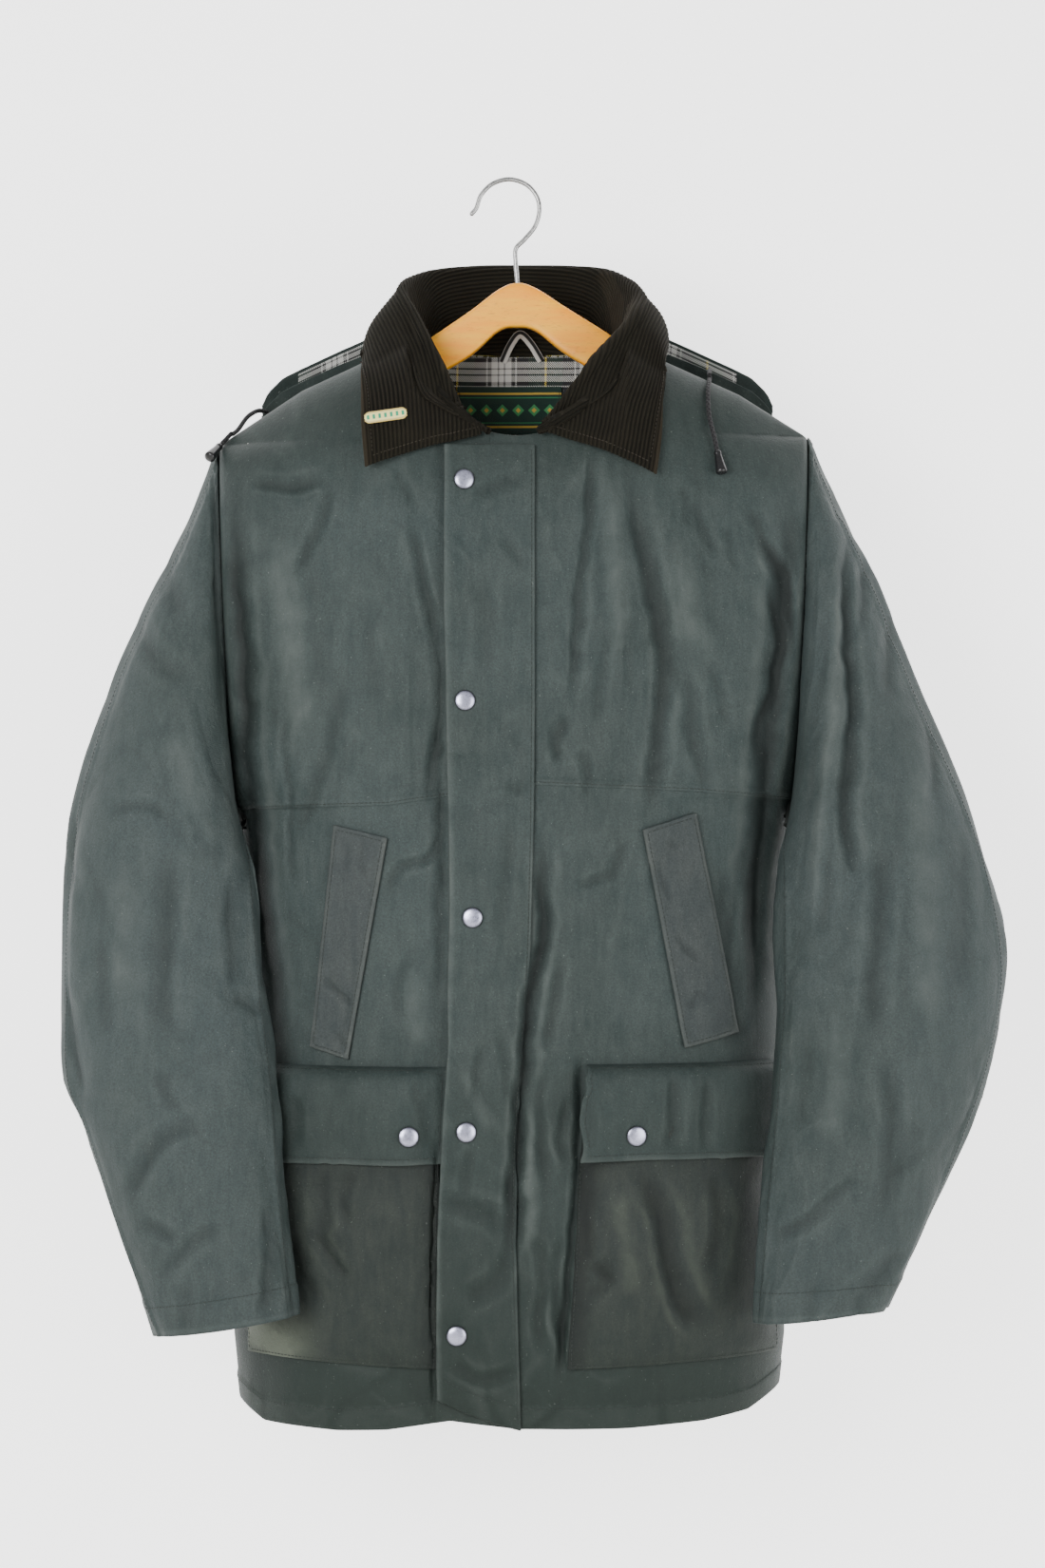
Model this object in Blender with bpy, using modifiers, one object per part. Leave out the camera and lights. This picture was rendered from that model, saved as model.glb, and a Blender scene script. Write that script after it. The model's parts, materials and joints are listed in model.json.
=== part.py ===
"""A waxed cotton jacket hanging closed on its wooden hanger.

Frame: +Z up, -Y the front of the jacket, +X the wearer's left. The origin is the underside of the
hook's crown, where a peg or rail carries it, and the hanger lies in the plane Y = 0.

The cloth is worked out from two explicit surfaces, the front and the back of the body, each a height
field y(x, z). Panels are cut from them, and what is sewn on a panel is the same surface moved out
along its normal. Sleeves are lofted through rings, the first of which is the armhole. Tables and
functions hold millimetres; meshes are made in metres.
"""
import math

import bpy
import numpy as np
from mathutils import Matrix

MM = 0.001
OBJECT_NAME = "waxed_jacket"
SIDES = {"right": -1, "left": 1}   # the wearer's right is at -X

# ---- Driving dimensions, in millimetres ----
CLOTH = 1.5            # waxed cotton with its lining
FLY_CLOTH = 2.2        # two layers, stitched
CORDUROY = 2.4
TAPE = 1.0
SEAM_GAP = 0.3         # between panels that meet at a seam
LAY_GAP = 0.8          # between a panel and what is sewn on it

MID_X = 6.0            # middle of the neck
CENTRE_FRONT_X = -14.0
NECK_HALF_WIDTH = 81.0
NECK_Z = -119.5        # where the neck meets the shoulder line
NECK_FRONT_DEPTH, NECK_FRONT_DROP, NECK_FRONT_POWER = 66.0, 76.0, 1.3
NECK_BACK_DEPTH, NECK_BACK_DROP, NECK_BACK_POWER = 43.0, 6.0, 1.0
SHOULDER_RISE = 70.0   # how far below the shoulder line the body is at full depth
SHOULDER_FLAT = 8.0    # how far the cloth runs level from the shoulder seam, over the hanger
EDGE_STRIP = 1.2       # a narrow strip along each seam that faces straight out
FRONT_BEND, BACK_BEND = 2.6, 3.4   # how square the front and the back are across
ARMHOLE_FRONT, ARMHOLE_BACK = 44.0, 38.0
UNDERARM_Y = 8.0

# Shoulder line, over the arms of the hanger: x, z
SHOULDER = [(-216, -198), (-154, -157), (-115, -139), (-75, NECK_Z), (87, NECK_Z), (113, -134),
            (171, -160), (222, -192)]
# Side edges of the body, which are the armholes down to the underarm: z, right side x, left side x
BODY_SIDE = [(-192, -216, 222), (-466, -205, 213), (-520, -203, 208), (-700, -204, 206),
             (-860, -206, 206), (-930, -199, 198)]
# Depth of the body: z, centre front y, centre back y, side seam y
BODY_DEPTH = [(-121, -62, 43, 0), (-195, -68, 46, 2), (-300, -79, 50, 5), (-466, -88, 52, UNDERARM_Y),
              (-700, -94, 53, 10), (-860, -93, 55, 10), (-930, -89, 53, 10)]
# Seam between the upper and the lower fronts: x, z
CHEST_SEAM = [(-216, -468), (-93, -465), (-49, -459), (17, -450), (141, -455), (222, -461)]
FRONT_HEM = [(-206, -903), (-182, -918), (-126, -920), (-89, -918), (-42, -911), (8, -917),
             (89, -917), (148, -914), (182, -909), (206, -896)]
BACK_HEM = [(-206, -903), (-180, -919), (-100, -924), (100, -923), (182, -913), (206, -896)]
HEM_SHARE = 0.935      # half width of the hem over that of the shoulders
STEEPEST = 3.0         # slope of the body past which its normal is not followed
PANEL_ROWS, BACK_ROWS = 9, 7    # rows of points below the chest seam or the underarm
# Large soft folds of the front: top x, z; bottom x, z; half width, depth (a ridge is negative)
FRONT_FOLDS = [(22, -560, 10, -800, 12, 5), (-197, -215, -186, -330, 16, 7), (70, -230, 96, -430, 16, 4),
               (150, -240, 176, -420, 15, 5), (-150, -205, -100, -290, 14, 4), (30, -640, 34, -880, 16, -4)]
FOLD_START = 30.0      # how far below the top edge the folds reach their full depth
FOLD_ENDS = 0.6        # how bluntly a fold ends: a half sine to this power

# Sleeve rings, from the armhole to the cuff: outer x y z, inner x y z, front and back half depth
SLEEVE_RINGS = {
    "right": [(-216, 0, -198, -205.3, 8, -468, 44, 38), (-237, -4, -252, -208, -2, -476, 50, 36),
              (-270, -12, -320, -203, -20, -490, 50, 34), (-301, -20, -398, -194, -38, -507, 47, 33),
              (-321, -30, -470, -188, -50, -534, 45, 33), (-327, -40, -545, -181, -64, -580, 43, 33),
              (-329, -48, -615, -173, -76, -628, 42, 32), (-326, -56, -668, -167, -84, -676, 42, 31),
              (-309, -66, -706, -164, -90, -722, 40, 30), (-283, -76, -782, -159, -96, -776, 38, 28),
              (-256, -86, -849, -154, -100, -832, 35, 26)],
    "left": [(222, 0, -192, 213.3, 8, -461, 44, 38), (241, -4, -234, 216, -2, -470, 50, 36),
             (268, -10, -292, 212, -20, -484, 50, 34), (302, -18, -380, 205, -38, -500, 48, 33),
             (338, -28, -462, 202, -50, -526, 46, 33), (358, -38, -528, 199, -62, -568, 44, 33),
             (365, -46, -590, 195, -74, -612, 43, 32), (353, -56, -655, 191, -82, -662, 42, 31),
             (331, -66, -713, 187, -90, -712, 41, 30), (304, -76, -770, 182, -96, -768, 38, 28),
             (274, -86, -828, 178, -99, -838, 35, 26)],
}
SLEEVE_SEAMS = (18, 162)     # degrees round the ring from its outer point, over the front
RING_STEP = 18               # degrees between points of a ring
SLEEVE_SEAM_CUT = 1.2        # degrees that each piece stops short of the seam
SLEEVE_ROWS = 12
SLEEVE_CLEARANCE = 3.0       # between a sleeve and the body behind it
SLEEVE_OVERLAP = 12.0        # how far beside the sleeve the body is looked at
POCKET_CLEARANCE = 17.0      # more than that, beside the pockets
POCKET_TOP_Z, POCKET_BLEND = -625.0, 45.0

# Collar sections, round the neck: degrees from the centre back, fold x y z, outer edge x y z, roll
COLLAR = [(-165, -15, -68, -194, -104, -80, -218, 3.2), (-142, -33, -58, -175, -107, -68, -186, 3.6),
          (-118, -52, -42, -134, -108, -48, -160, 4.2), (-98, -66, -20, -104, -109, -26, -142, 5.0),
          (-74, -75, 6, -84, -107, 6, -128, 5.6), (-42, -54, 38, -70, -84, 58, -137, 6.2),
          (0, 6, 50, -66, 6, 71, -140, 6.6),
          (42, 68, 38, -71, 92, 58, -138, 6.2), (74, 91, 6, -88, 115, 6, -127, 5.8),
          (98, 88, -22, -108, 115, -36, -142, 5.4), (118, 66, -42, -134, 113, -50, -172, 4.6),
          (142, 40, -57, -166, 111, -68, -196, 3.8), (168, 21, -67, -192, 107, -80, -223, 3.2)]
COLLAR_SECTIONS = 25
COLLAR_INSIDE = 4.2          # how far inside the neckline the collar stands
COLLAR_RAISED = 0.5          # how far above the neckline its foot is
COLLAR_OVER_ARM = (93.0, 12.0, 2.0)    # degrees, half width in degrees, rise over the hanger's arms
LEAF_BOW = 7.0               # how far the turned-down leaf bows outwards
LEAF_CLEARANCE = 6.8         # between the leaf and the chest behind it
LEAF_REACH = 8.0             # how far above the neckline the leaf counts as over the chest

# Storm fly: z, free edge x, stitched edge x
FLY = [(-203, -46, 18), (-392, -45, 18), (-488, -42, 17), (-570, -42, 15), (-639, -44, 10),
       (-708, -48, 5), (-780, -52, 4), (-918, -51, 8)]
FLY_BOTTOM = [(-52, -895), (-33, -904), (-14, -911), (8, -917.5)]
FLY_ROWS, FLY_COLUMNS = 18, 4
FLY_GAP = 1.4
FLY_LIFT = 3.2               # the free edge stands off by this much more
FLY_SNAPS = [(-32, -229), (-32, -390), (-26, -546), (-31, -702), (-38, -848)]

# Hand-warmer welts: x, z of the upper and lower ends of the front edge, then of the back edge
WELTS = {"right": ((-89, -490), (-117, -649), (-126, -481), (-143, -641)),
         "left": ((98, -484), (128, -641), (135, -472), (166, -631))}
WELT_CLOTH = 2.6
# Bellows pockets: nearer x and further x at the top, the same at the bottom, top z and bottom z
POCKET_BAGS = {"right": (-56, -188, -58, -190, -672, -873), "left": (57, 190, 43, 196, -668, -873)}
POCKET_FLAPS = {"right": (-50, -186, -54, -188, -655, -724), "left": (57, 193, 55, 193, -653, -721)}
BAG_DEPTH = 11.0
BAG_CORNER_RISE = 6.0        # the outer bottom corner sits this much higher
BAG_SIDE_POWER, BAG_BOTTOM_POWER = 6, 7    # how squarely the bag swells from its seams
FLAP_CLOTH = 2.0
FLAP_BEND = 3.2              # the flap is clear of the bag after one part in this many
FLAP_SNAPS = {"right": (-73, -704), "left": (93, -704)}

SNAP_RADIUS, SNAP_HEIGHT, SNAP_RIM = 7.6, 2.6, 0.8
SNAP_STANDOFF = 0.5          # for the bend of the cloth under the flat back of the cap
SNAP_DOME = [0, 24, 48, 72]  # degrees from the top of the dome

# Hood, laid down behind the neck: distance from the middle, rear rim z, front rim z
HOOD_RIM = [(0, -128, -133), (45, -126, -134), (70, -117, -143), (94, -109, -143), (114, -109, -124),
            (137, -120, -133), (159, -131, -143), (178, -141, -152), (190, -153, -163), (196, -167, -175)]
HOOD_HALF_WIDTH, HOOD_BOTTOM_Z, HOOD_CORNER_RISE = 194.0, -415.0, 190.0
HOOD_CORNER_POWER, HOOD_DEPTH_POWER = 2.6, 2.2
HOOD_Y, HOOD_DEPTH, HOOD_EDGE_DEPTH = 52.0, 42.0, 5.0
HOOD_COLUMNS = 15
LINING_INSET = 2.6

NECK_LINING = (-54, 66, -252)        # left x, right x, bottom z
NECK_LINING_DROP = 2.0               # how far below the neckline it starts
NECK_LABEL = (-39, 39, -150, -185)   # left x, right x, top z, bottom z
HANG_LOOP = [(-5, -131), (1, -118), (8, -110), (16, -117), (24, -130)]
HANG_LOOP_WIDTH = 5.0
HANG_LOOP_DEPTH = 7.0    # in from the outside of the back
HANG_LOOP_BEND_Z = -135.0   # the height at which the back gives the loop its bend

# Hanger: x, top z, bottom z, from one tip to the other
HANGER = [(-209, -198.5, -209), (-202, -193.4, -217), (-154, -159.8, -189), (-115, -142.8, -173),
          (-75, -126.2, -156), (-64, -120.4, -150), (-30, -97.5, -131), (-8, -81, -112), (6, -76, -109),
          (20, -80, -112), (42, -94, -129), (76, -115.4, -149), (83, -124, -154), (91, -128.6, -159),
          (113, -137.6, -169), (171, -163, -193), (209, -186.8, -213), (215, -192.5, -205)]
HANGER_THICKNESS, HANGER_ROUNDING = 13.0, 3.0
HOOK = [(-28, -24), (-24.5, -19.5), (-21, -10), (-12.5, -1.6), (0, 1.75), (12.5, -2), (20.5, -11),
        (22.5, -21.5), (19.5, -33), (11.5, -43), (5, -50), (4.8, -60), (6, -75.2)]
HOOK_WIRE = 3.5
HOOK_POINTS = 49

# Drawcords: x, distance in front of the plane of the hanger, z
DRAWCORD = {"right": [(-184, 46, -168), (-190, 34, -168), (-197, 20, -174), (-203, 7, -184.5),
                      (-207, -3, -189.3), (-211, -11, -193.6), (-215, -18, -199)],
            "left": [(152, 48, -140), (151, 30, -138), (150, 10, -141), (149, -12, -149),
                     (147, -32, -160), (147, -48, -178), (150, -58, -194), (152.5, -63, -207)]}
DRAWCORD_DIAMETER = 3.4
DRAWCORD_POINTS = 25
DRAWCORD_GAP = 1.3           # between a cord and the chest behind it
# Cord end, from the cord down: radius, height
CORD_END = [(0, 0), (2.8, 0), (2.8, -4), (3.44, -8), (4.3, -15.5), (3.44, -17), (0, -17)]

PIN_SIZE = (31.0, 8.6, 1.4)
PIN_ROUNDING = 0.4
PIN_PLACE = (0.93, 0.76)     # section along the collar, part of the leaf from fold to edge
PIN_GAP = 1.2
PIN_TILT = 8.0               # degrees, outer end down
PIN_REACH = 0.2              # how far round the pin the leaf is measured for its slope

# Materials: red, green, blue, roughness, metallic
FINISHES = {
    "waxed_cotton": (0.064, 0.083, 0.075, 0.55, 0.0), "faded_waxed_cotton": (0.075, 0.08, 0.07, 0.6, 0.0),
    "brown_corduroy": (0.03, 0.025, 0.017, 0.9, 0.0), "tartan_lining": (0.06, 0.08, 0.06, 0.85, 0.0),
    "woven_label": (0.01, 0.05, 0.035, 0.7, 0.0), "striped_tape": (0.12, 0.12, 0.12, 0.8, 0.0),
    "pewter_snap": (0.32, 0.31, 0.35, 0.3, 1.0), "black_cord": (0.02, 0.018, 0.018, 0.8, 0.0),
    "black_plastic": (0.008, 0.008, 0.008, 0.15, 0.0), "cream_enamel": (0.8, 0.75, 0.33, 0.3, 0.0),
    "varnished_beech": (0.74, 0.37, 0.11, 0.35, 0.0), "steel_wire": (0.35, 0.35, 0.35, 0.35, 1.0),
}


# ---- Curves and surfaces, in millimetres ----

def column(table, value, index, key=0):
    """Read one column of a table at a value of its first column, in straight runs."""
    rows = sorted(table, key=lambda row: row[key])
    return np.interp(value, [row[key] for row in rows], [row[index] for row in rows])


def smooth_rows(rows, at):
    """Rows of a table at whole and part row numbers, on a Catmull-Rom curve through them."""
    rows = np.asarray(rows, float)
    at = np.clip(np.asarray(at, float), 0, len(rows) - 1)
    first = np.minimum(at.astype(int), len(rows) - 2)
    part = (at - first)[..., None]
    ends = np.vstack([2 * rows[0] - rows[1], rows, 2 * rows[-1] - rows[-2]])
    a, b, c, d = (ends[first + k] for k in range(4))
    return b + 0.5 * part * (c - a + part * (2 * a - 5 * b + 4 * c - d + part * (3 * (b - c) + d - a)))


def smoothstep(value):
    value = np.clip(value, 0, 1)
    return value * value * (3 - 2 * value)


def quarter_round(part):
    """0 to 1 along a quarter circle that starts flat."""
    return np.sqrt(1 - (1 - np.clip(part, 0, 1)) ** 2)


def side_x(z, side):
    return column(BODY_SIDE, z, 1 if side < 0 else 2)


def across_body(x, z):
    """0 at the middle of the body, 1 at its side seam or armhole."""
    middle = (side_x(z, -1) + side_x(z, 1)) / 2
    half = (side_x(z, 1) - side_x(z, -1)) / 2
    return np.clip(np.abs(x - middle) / half, 0, 1)


def neck_part(x):
    """1 at the middle of the neck, 0 from its side points outwards."""
    return np.sqrt(np.clip(1 - ((x - MID_X) / NECK_HALF_WIDTH) ** 2, 0, 1))


def top_z(x, front):
    """The top edge of the front or back: the neckline, then the shoulder line."""
    drop = NECK_FRONT_DROP if front else NECK_BACK_DROP
    power = NECK_FRONT_POWER if front else NECK_BACK_POWER
    return column(SHOULDER, x, 1) - drop * neck_part(x) ** power


def armhole_depth(z, x):
    """How far the armhole is open at a height: 0 at the shoulder and the underarm."""
    top = np.where(x < MID_X, SHOULDER[0][1], SHOULDER[-1][1])
    bottom = np.where(x < MID_X, CHEST_SEAM[0][1], CHEST_SEAM[-1][1])
    part = (z - (top + bottom) / 2) / ((top - bottom) / 2)
    return np.sqrt(np.clip(1 - part ** 2, 0, 1))


def side_y(z, x):
    """The side seam, which moves back a little from the shoulder to the underarm."""
    top = np.where(x < MID_X, SHOULDER[0][1], SHOULDER[-1][1])
    bottom = np.where(x < MID_X, CHEST_SEAM[0][1], CHEST_SEAM[-1][1])
    return UNDERARM_Y * np.clip((top - z) / (top - bottom), 0, 1)


def fold_depth(x, z):
    """Depth of the large soft folds of the front at a point."""
    total = np.zeros(np.broadcast(x, z).shape)
    for x0, z0, x1, z1, half_width, depth in FRONT_FOLDS:
        along = (z0 - z) / (z0 - z1)
        aside = (x - (x0 + (x1 - x0) * along)) / half_width
        total = total + depth * np.exp(-aside ** 2) * np.sin(np.pi * np.clip(along, 0, 1)) ** FOLD_ENDS
    return total


def body_y(x, z, front):
    """The outer surface of the body, front or back."""
    x, z = np.asarray(x, float), np.asarray(z, float)
    bend = FRONT_BEND if front else BACK_BEND
    full = column(BODY_DEPTH, z, 1 if front else 2)
    neck = -NECK_FRONT_DEPTH if front else NECK_BACK_DEPTH
    open_by = -ARMHOLE_FRONT if front else ARMHOLE_BACK
    edge = side_y(z, x) + open_by * armhole_depth(z, x)
    fullness = np.sqrt(1 - across_body(x, z) ** bend)
    start = np.maximum(np.abs(neck) * neck_part(x), SHOULDER_FLAT) / np.abs(full)
    start = np.clip(start / np.maximum(fullness, 0.2), 0, 1)
    rise = start + (1 - start) * quarter_round((top_z(x, front) - z) / SHOULDER_RISE)
    y = edge + (full - edge) * fullness * rise
    if front:
        y = y + fold_depth(x, z) * fullness * smoothstep((top_z(x, True) - z) / FOLD_START)
    return y


def on_body(x, z, lift=0.0, front=True):
    """Points on the body's outer surface, moved out along its normal by the lift."""
    x, z = np.broadcast_arrays(np.asarray(x, float), np.asarray(z, float))
    y = body_y(x, z, front)
    step = 0.5
    slope_x = (body_y(x + step, z, front) - body_y(x - step, z, front)) / (2 * step)
    slope_z = (body_y(x, z + step, front) - body_y(x, z - step, front)) / (2 * step)
    slope_x = np.clip(slope_x, -STEEPEST, STEEPEST)
    slope_z = np.clip(slope_z, -STEEPEST, STEEPEST)
    out = -1.0 if front else 1.0
    normal = np.stack([-out * slope_x, np.full(x.shape, out), -out * slope_z], axis=-1)
    normal /= np.linalg.norm(normal, axis=-1, keepdims=True)
    return np.stack([x, y, z], axis=-1) + normal * np.asarray(lift, float)[..., None]


# ---- Meshes ----

def finish_of(name):
    """The named material, made once."""
    material = bpy.data.materials.get(name)
    if material is None:
        red, green, blue, roughness, metallic = FINISHES[name]
        material = bpy.data.materials.new(name)
        material.use_nodes = True
        shader = material.node_tree.nodes["Principled BSDF"]
        shader.inputs["Base Color"].default_value = (red, green, blue, 1.0)
        shader.inputs["Roughness"].default_value = roughness
        shader.inputs["Metallic"].default_value = metallic
    return material


def place(name, data, finish):
    """Add an object with its material to the jacket's collection."""
    data.materials.append(finish_of(finish))
    thing = bpy.data.objects.new(name, data)
    bpy.data.collections[OBJECT_NAME].objects.link(thing)
    return thing


def shell(name, grid, wall, finish):
    """A wall of cloth behind a grid of points, whose rows run down and columns left to right as
    seen from outside."""
    grid = np.asarray(grid, float)
    rows, columns = grid.shape[:2]
    index = np.arange(rows * columns).reshape(rows, columns)
    faces = np.stack([index[:-1, :-1], index[1:, :-1], index[1:, 1:], index[:-1, 1:]], axis=-1)
    mesh = bpy.data.meshes.new(name)
    mesh.from_pydata((grid.reshape(-1, 3) * MM).tolist(), [], faces.reshape(-1, 4).tolist())
    mesh.shade_smooth()
    thing = place(name, mesh, finish)
    solidify = thing.modifiers.new("wall", "SOLIDIFY")
    solidify.thickness = wall * MM
    solidify.offset = -1.0
    return thing


def turned(name, profile, finish, location, rotation):
    """A turned piece: a profile of radius and height, top to bottom, carried round its own Z."""
    mesh = bpy.data.meshes.new(name)
    points = [(radius * MM, 0.0, height * MM) for radius, height in profile]
    mesh.from_pydata(points, [(k, k + 1) for k in range(len(points) - 1)], [])
    thing = place(name, mesh, finish)
    screw = thing.modifiers.new("turn", "SCREW")
    screw.steps = screw.render_steps = 16
    screw.use_merge_vertices = True
    screw.merge_threshold = 0.00001
    thing.location = [value * MM for value in location]
    thing.rotation_euler = rotation
    return thing


def wire(name, points, diameter, finish):
    """A round wire or cord along a list of points."""
    curve = bpy.data.curves.new(name, "CURVE")
    curve.dimensions = "3D"
    curve.bevel_depth = diameter / 2 * MM
    curve.bevel_resolution = 2
    curve.use_fill_caps = True
    curve.resolution_u = 1
    spline = curve.splines.new("POLY")
    spline.points.add(len(points) - 1)
    for target, point in zip(spline.points, points):
        target.co = (*[value * MM for value in point], 1.0)
    return place(name, curve, finish)


# ---- The body ----

def neck_columns(first, last, count):
    """Places across the neck, evenly round it, in degrees from the middle."""
    return MID_X + NECK_HALF_WIDTH * np.sin(np.radians(np.linspace(first, last, count)))


def shoulder_columns(side, count):
    """Places across a shoulder, closer together towards the armhole."""
    start = MID_X + side * NECK_HALF_WIDTH
    end = SHOULDER[0][0] if side < 0 else SHOULDER[-1][0]
    part = np.sin(np.linspace(0, math.pi / 2, count))
    return start + (end - start) * part


def front_columns(side):
    """Places across the top of one front, from the centre front to the armhole."""
    middle = CENTRE_FRONT_X + side * SEAM_GAP / 2
    angle = math.degrees(math.asin((middle - MID_X) / NECK_HALF_WIDTH))
    neck = neck_columns(angle, side * 90, 7)
    return np.concatenate([neck[:-1], shoulder_columns(side, 6)])


def panel_grid(columns, rows_z, anchor, front):
    """Points of a body panel: columns keep their share of the width as the sides move in and out.
    A narrow strip that faces straight out runs along the side seam or armhole."""
    out = -1 if front else 1
    top = columns[None, :]
    right_half = top < (CENTRE_FRONT_X if front else MID_X)
    top_side = np.where(right_half, SHOULDER[0][0], SHOULDER[-1][0])
    here_side = np.where(right_half, side_x(rows_z, -1), side_x(rows_z, 1))
    x = anchor + (top - anchor) * (here_side - anchor) / (top_side - anchor)
    grid = np.stack([x, body_y(x, rows_z, front), rows_z], axis=-1)
    for end, beside in ((0, 1), (-1, -2)):
        if abs(top[0, end] - top_side[0, end]) < 0.01:
            grid[:, end, 1] += out * SEAM_GAP / 2
            strip = grid[:, end:end + 1 or None] + np.array([0, out * EDGE_STRIP, 0])
            grid = np.insert(grid, 1 if end == 0 else grid.shape[1] - 1, strip[:, 0], axis=1)
    return grid


def with_top_strip(grid, front):
    """Add the level strip beside the shoulder seam, and a narrow one beside the neckline."""
    out = -1 if front else 1
    seam, first = grid[0].copy(), grid[0].copy()
    neck = np.abs(seam[:, 0] - MID_X) < NECK_HALF_WIDTH - 0.1
    level = ~neck & (np.abs(first[:, 1]) > 3)
    seam[level, 1] = out * SEAM_GAP / 2
    first[~level] += (grid[1] - grid[0])[~level] * 0.12
    return np.concatenate([seam[None], first[None], grid[1:]])


def build_fronts():
    for name, side in SIDES.items():
        columns = front_columns(side)
        if side < 0:
            columns = columns[::-1]
        anchor = CENTRE_FRONT_X + side * SEAM_GAP / 2
        seam = column(CHEST_SEAM, columns, 1)[None, :]
        top = top_z(columns, True)[None, :]
        bottom = column(FRONT_HEM, columns * HEM_SHARE, 1)[None, :]
        upper = (1 - np.cos(np.linspace(0, math.pi, 180 // RING_STEP + 1)))[:, None] / 2
        lower = np.linspace(0, 1, PANEL_ROWS)[:, None]
        upper_z = top + (seam + SEAM_GAP / 2 - top) * upper
        lower_z = seam - SEAM_GAP / 2 + (bottom - seam + SEAM_GAP / 2) * lower
        upper_grid = with_top_strip(panel_grid(columns, upper_z, anchor, True), True)
        shell(f"front_upper_{name}", upper_grid, CLOTH, "waxed_cotton")
        shell(f"front_lower_{name}", panel_grid(columns, lower_z, anchor, True), CLOTH, "waxed_cotton")


def build_back():
    columns = np.concatenate([shoulder_columns(-1, 6)[::-1], neck_columns(-90, 90, 9)[1:-1],
                              shoulder_columns(1, 6)])[::-1]
    under = column(CHEST_SEAM[::len(CHEST_SEAM) - 1], columns, 1)[None, :]
    top = top_z(columns, False)[None, :]
    upper = (1 - np.cos(np.linspace(0, math.pi, 180 // RING_STEP + 1)))[:, None] / 2
    lower = np.linspace(0, 1, BACK_ROWS)[1:, None]
    bottom = column(BACK_HEM, columns * HEM_SHARE, 1)[None, :]
    rows = np.vstack([top + (under - top) * upper, under + (bottom - under) * lower])
    grid = with_top_strip(panel_grid(columns, rows, MID_X, False), False)
    shell("back", grid, CLOTH, "waxed_cotton")


# ---- The sleeves ----

def sleeve_points(name, along, degrees):
    """Points of a sleeve at ring numbers along it and degrees round it."""
    rings = smooth_rows(SLEEVE_RINGS[name], along)[:, None, :]
    angle = np.radians(degrees)[None, :, None]
    outer, inner = rings[..., 0:3], rings[..., 3:6]
    depth = np.where(np.sin(angle) > 0, -rings[..., 6:7], -rings[..., 7:8])
    points = (outer + inner) / 2 + (outer - inner) / 2 * np.cos(angle)
    points[..., 1:2] += depth * np.sin(angle)
    return clear_of_body(points, np.minimum(along, 1)[:, None])


def clear_of_body(points, weight):
    """Keep sleeve points in front of the body and its pockets."""
    x, y, z = points[..., 0], points[..., 1], points[..., 2]
    middle = (side_x(z, -1) + side_x(z, 1)) / 2
    nearer = x - np.sign(x - middle) * SLEEVE_OVERLAP
    beside = smoothstep((POCKET_TOP_Z - z) / POCKET_BLEND) * POCKET_CLEARANCE
    limit = body_y(nearer, np.minimum(z, CHEST_SEAM[0][1] - 2), True) - SLEEVE_CLEARANCE - beside
    limit = np.where(across_body(nearer, z) >= 1, 1000, limit)
    limit = np.where(z > CHEST_SEAM[0][1] + 4, 1000, limit)
    points[..., 1] = y + (np.minimum(y, limit) - y) * weight
    return points


def build_sleeves():
    along = np.linspace(0, len(SLEEVE_RINGS["right"]) - 1, SLEEVE_ROWS)
    first, last = SLEEVE_SEAMS
    over = np.arange(first, last + 1, RING_STEP, dtype=float)
    under = np.arange(last, first + 361, RING_STEP, dtype=float)
    for degrees in (over, under):
        degrees[0] += SLEEVE_SEAM_CUT
        degrees[-1] -= SLEEVE_SEAM_CUT
    for name, side in SIDES.items():
        for piece, degrees in (("top", over), ("under", under)):
            grid = sleeve_points(name, along, degrees)
            grid[0, :, 0] += side * SEAM_GAP
            strip = grid[0] + np.array([side * EDGE_STRIP, 0, 0])
            grid = np.insert(grid, 1, strip, axis=0)
            shell(f"sleeve_{piece}_{name}", grid if side < 0 else grid[:, ::-1], CLOTH, "waxed_cotton")


# ---- The collar ----

def neck_seam(degrees):
    """The foot of the collar, just inside the neckline, in degrees from the centre back. It rises
    a little where it crosses the arms of the hanger."""
    angle = np.radians(degrees)
    back = np.cos(angle) > 0
    depth = np.where(back, NECK_BACK_DEPTH, NECK_FRONT_DEPTH) - COLLAR_INSIDE
    drop = np.where(back, NECK_BACK_DROP * np.abs(np.cos(angle)) ** NECK_BACK_POWER,
                    NECK_FRONT_DROP * np.abs(np.cos(angle)) ** NECK_FRONT_POWER)
    middle, half_width, rise = COLLAR_OVER_ARM
    over_arm = rise * np.exp(-((np.abs(degrees) - middle) / half_width) ** 2)
    return np.stack([MID_X + (NECK_HALF_WIDTH - COLLAR_INSIDE) * np.sin(angle), depth * np.cos(angle),
                     NECK_Z - drop + COLLAR_RAISED + over_arm], axis=-1)


def collar_points(along, stand_parts, roll_parts, leaf_parts):
    """Points of the collar at section numbers along it: up the stand, over the roll, down the leaf."""
    rows = smooth_rows(COLLAR, along)
    seam = neck_seam(rows[:, 0])
    fold, edge, roll = rows[:, 1:4], rows[:, 4:7], rows[:, 7:8]
    outwards = (edge - fold) * np.array([1, 1, 0])
    outwards /= np.linalg.norm(outwards, axis=1, keepdims=True)
    crest = fold + outwards * roll
    leaf_top = fold + outwards * 2 * roll
    up = np.array([0, 0, 1.0])
    lines = [seam + (fold - seam) * part for part in stand_parts]
    for part in roll_parts:
        turn = math.pi * part
        lines.append(crest - outwards * roll * math.cos(turn) + up * roll * math.sin(turn))
    for part in leaf_parts:
        bow = LEAF_BOW * 4 * part * (1 - part)
        lines.append(leaf_top + (edge - leaf_top) * part + outwards * bow)
    return clear_of_front(np.stack(lines), LEAF_CLEARANCE)


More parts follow.
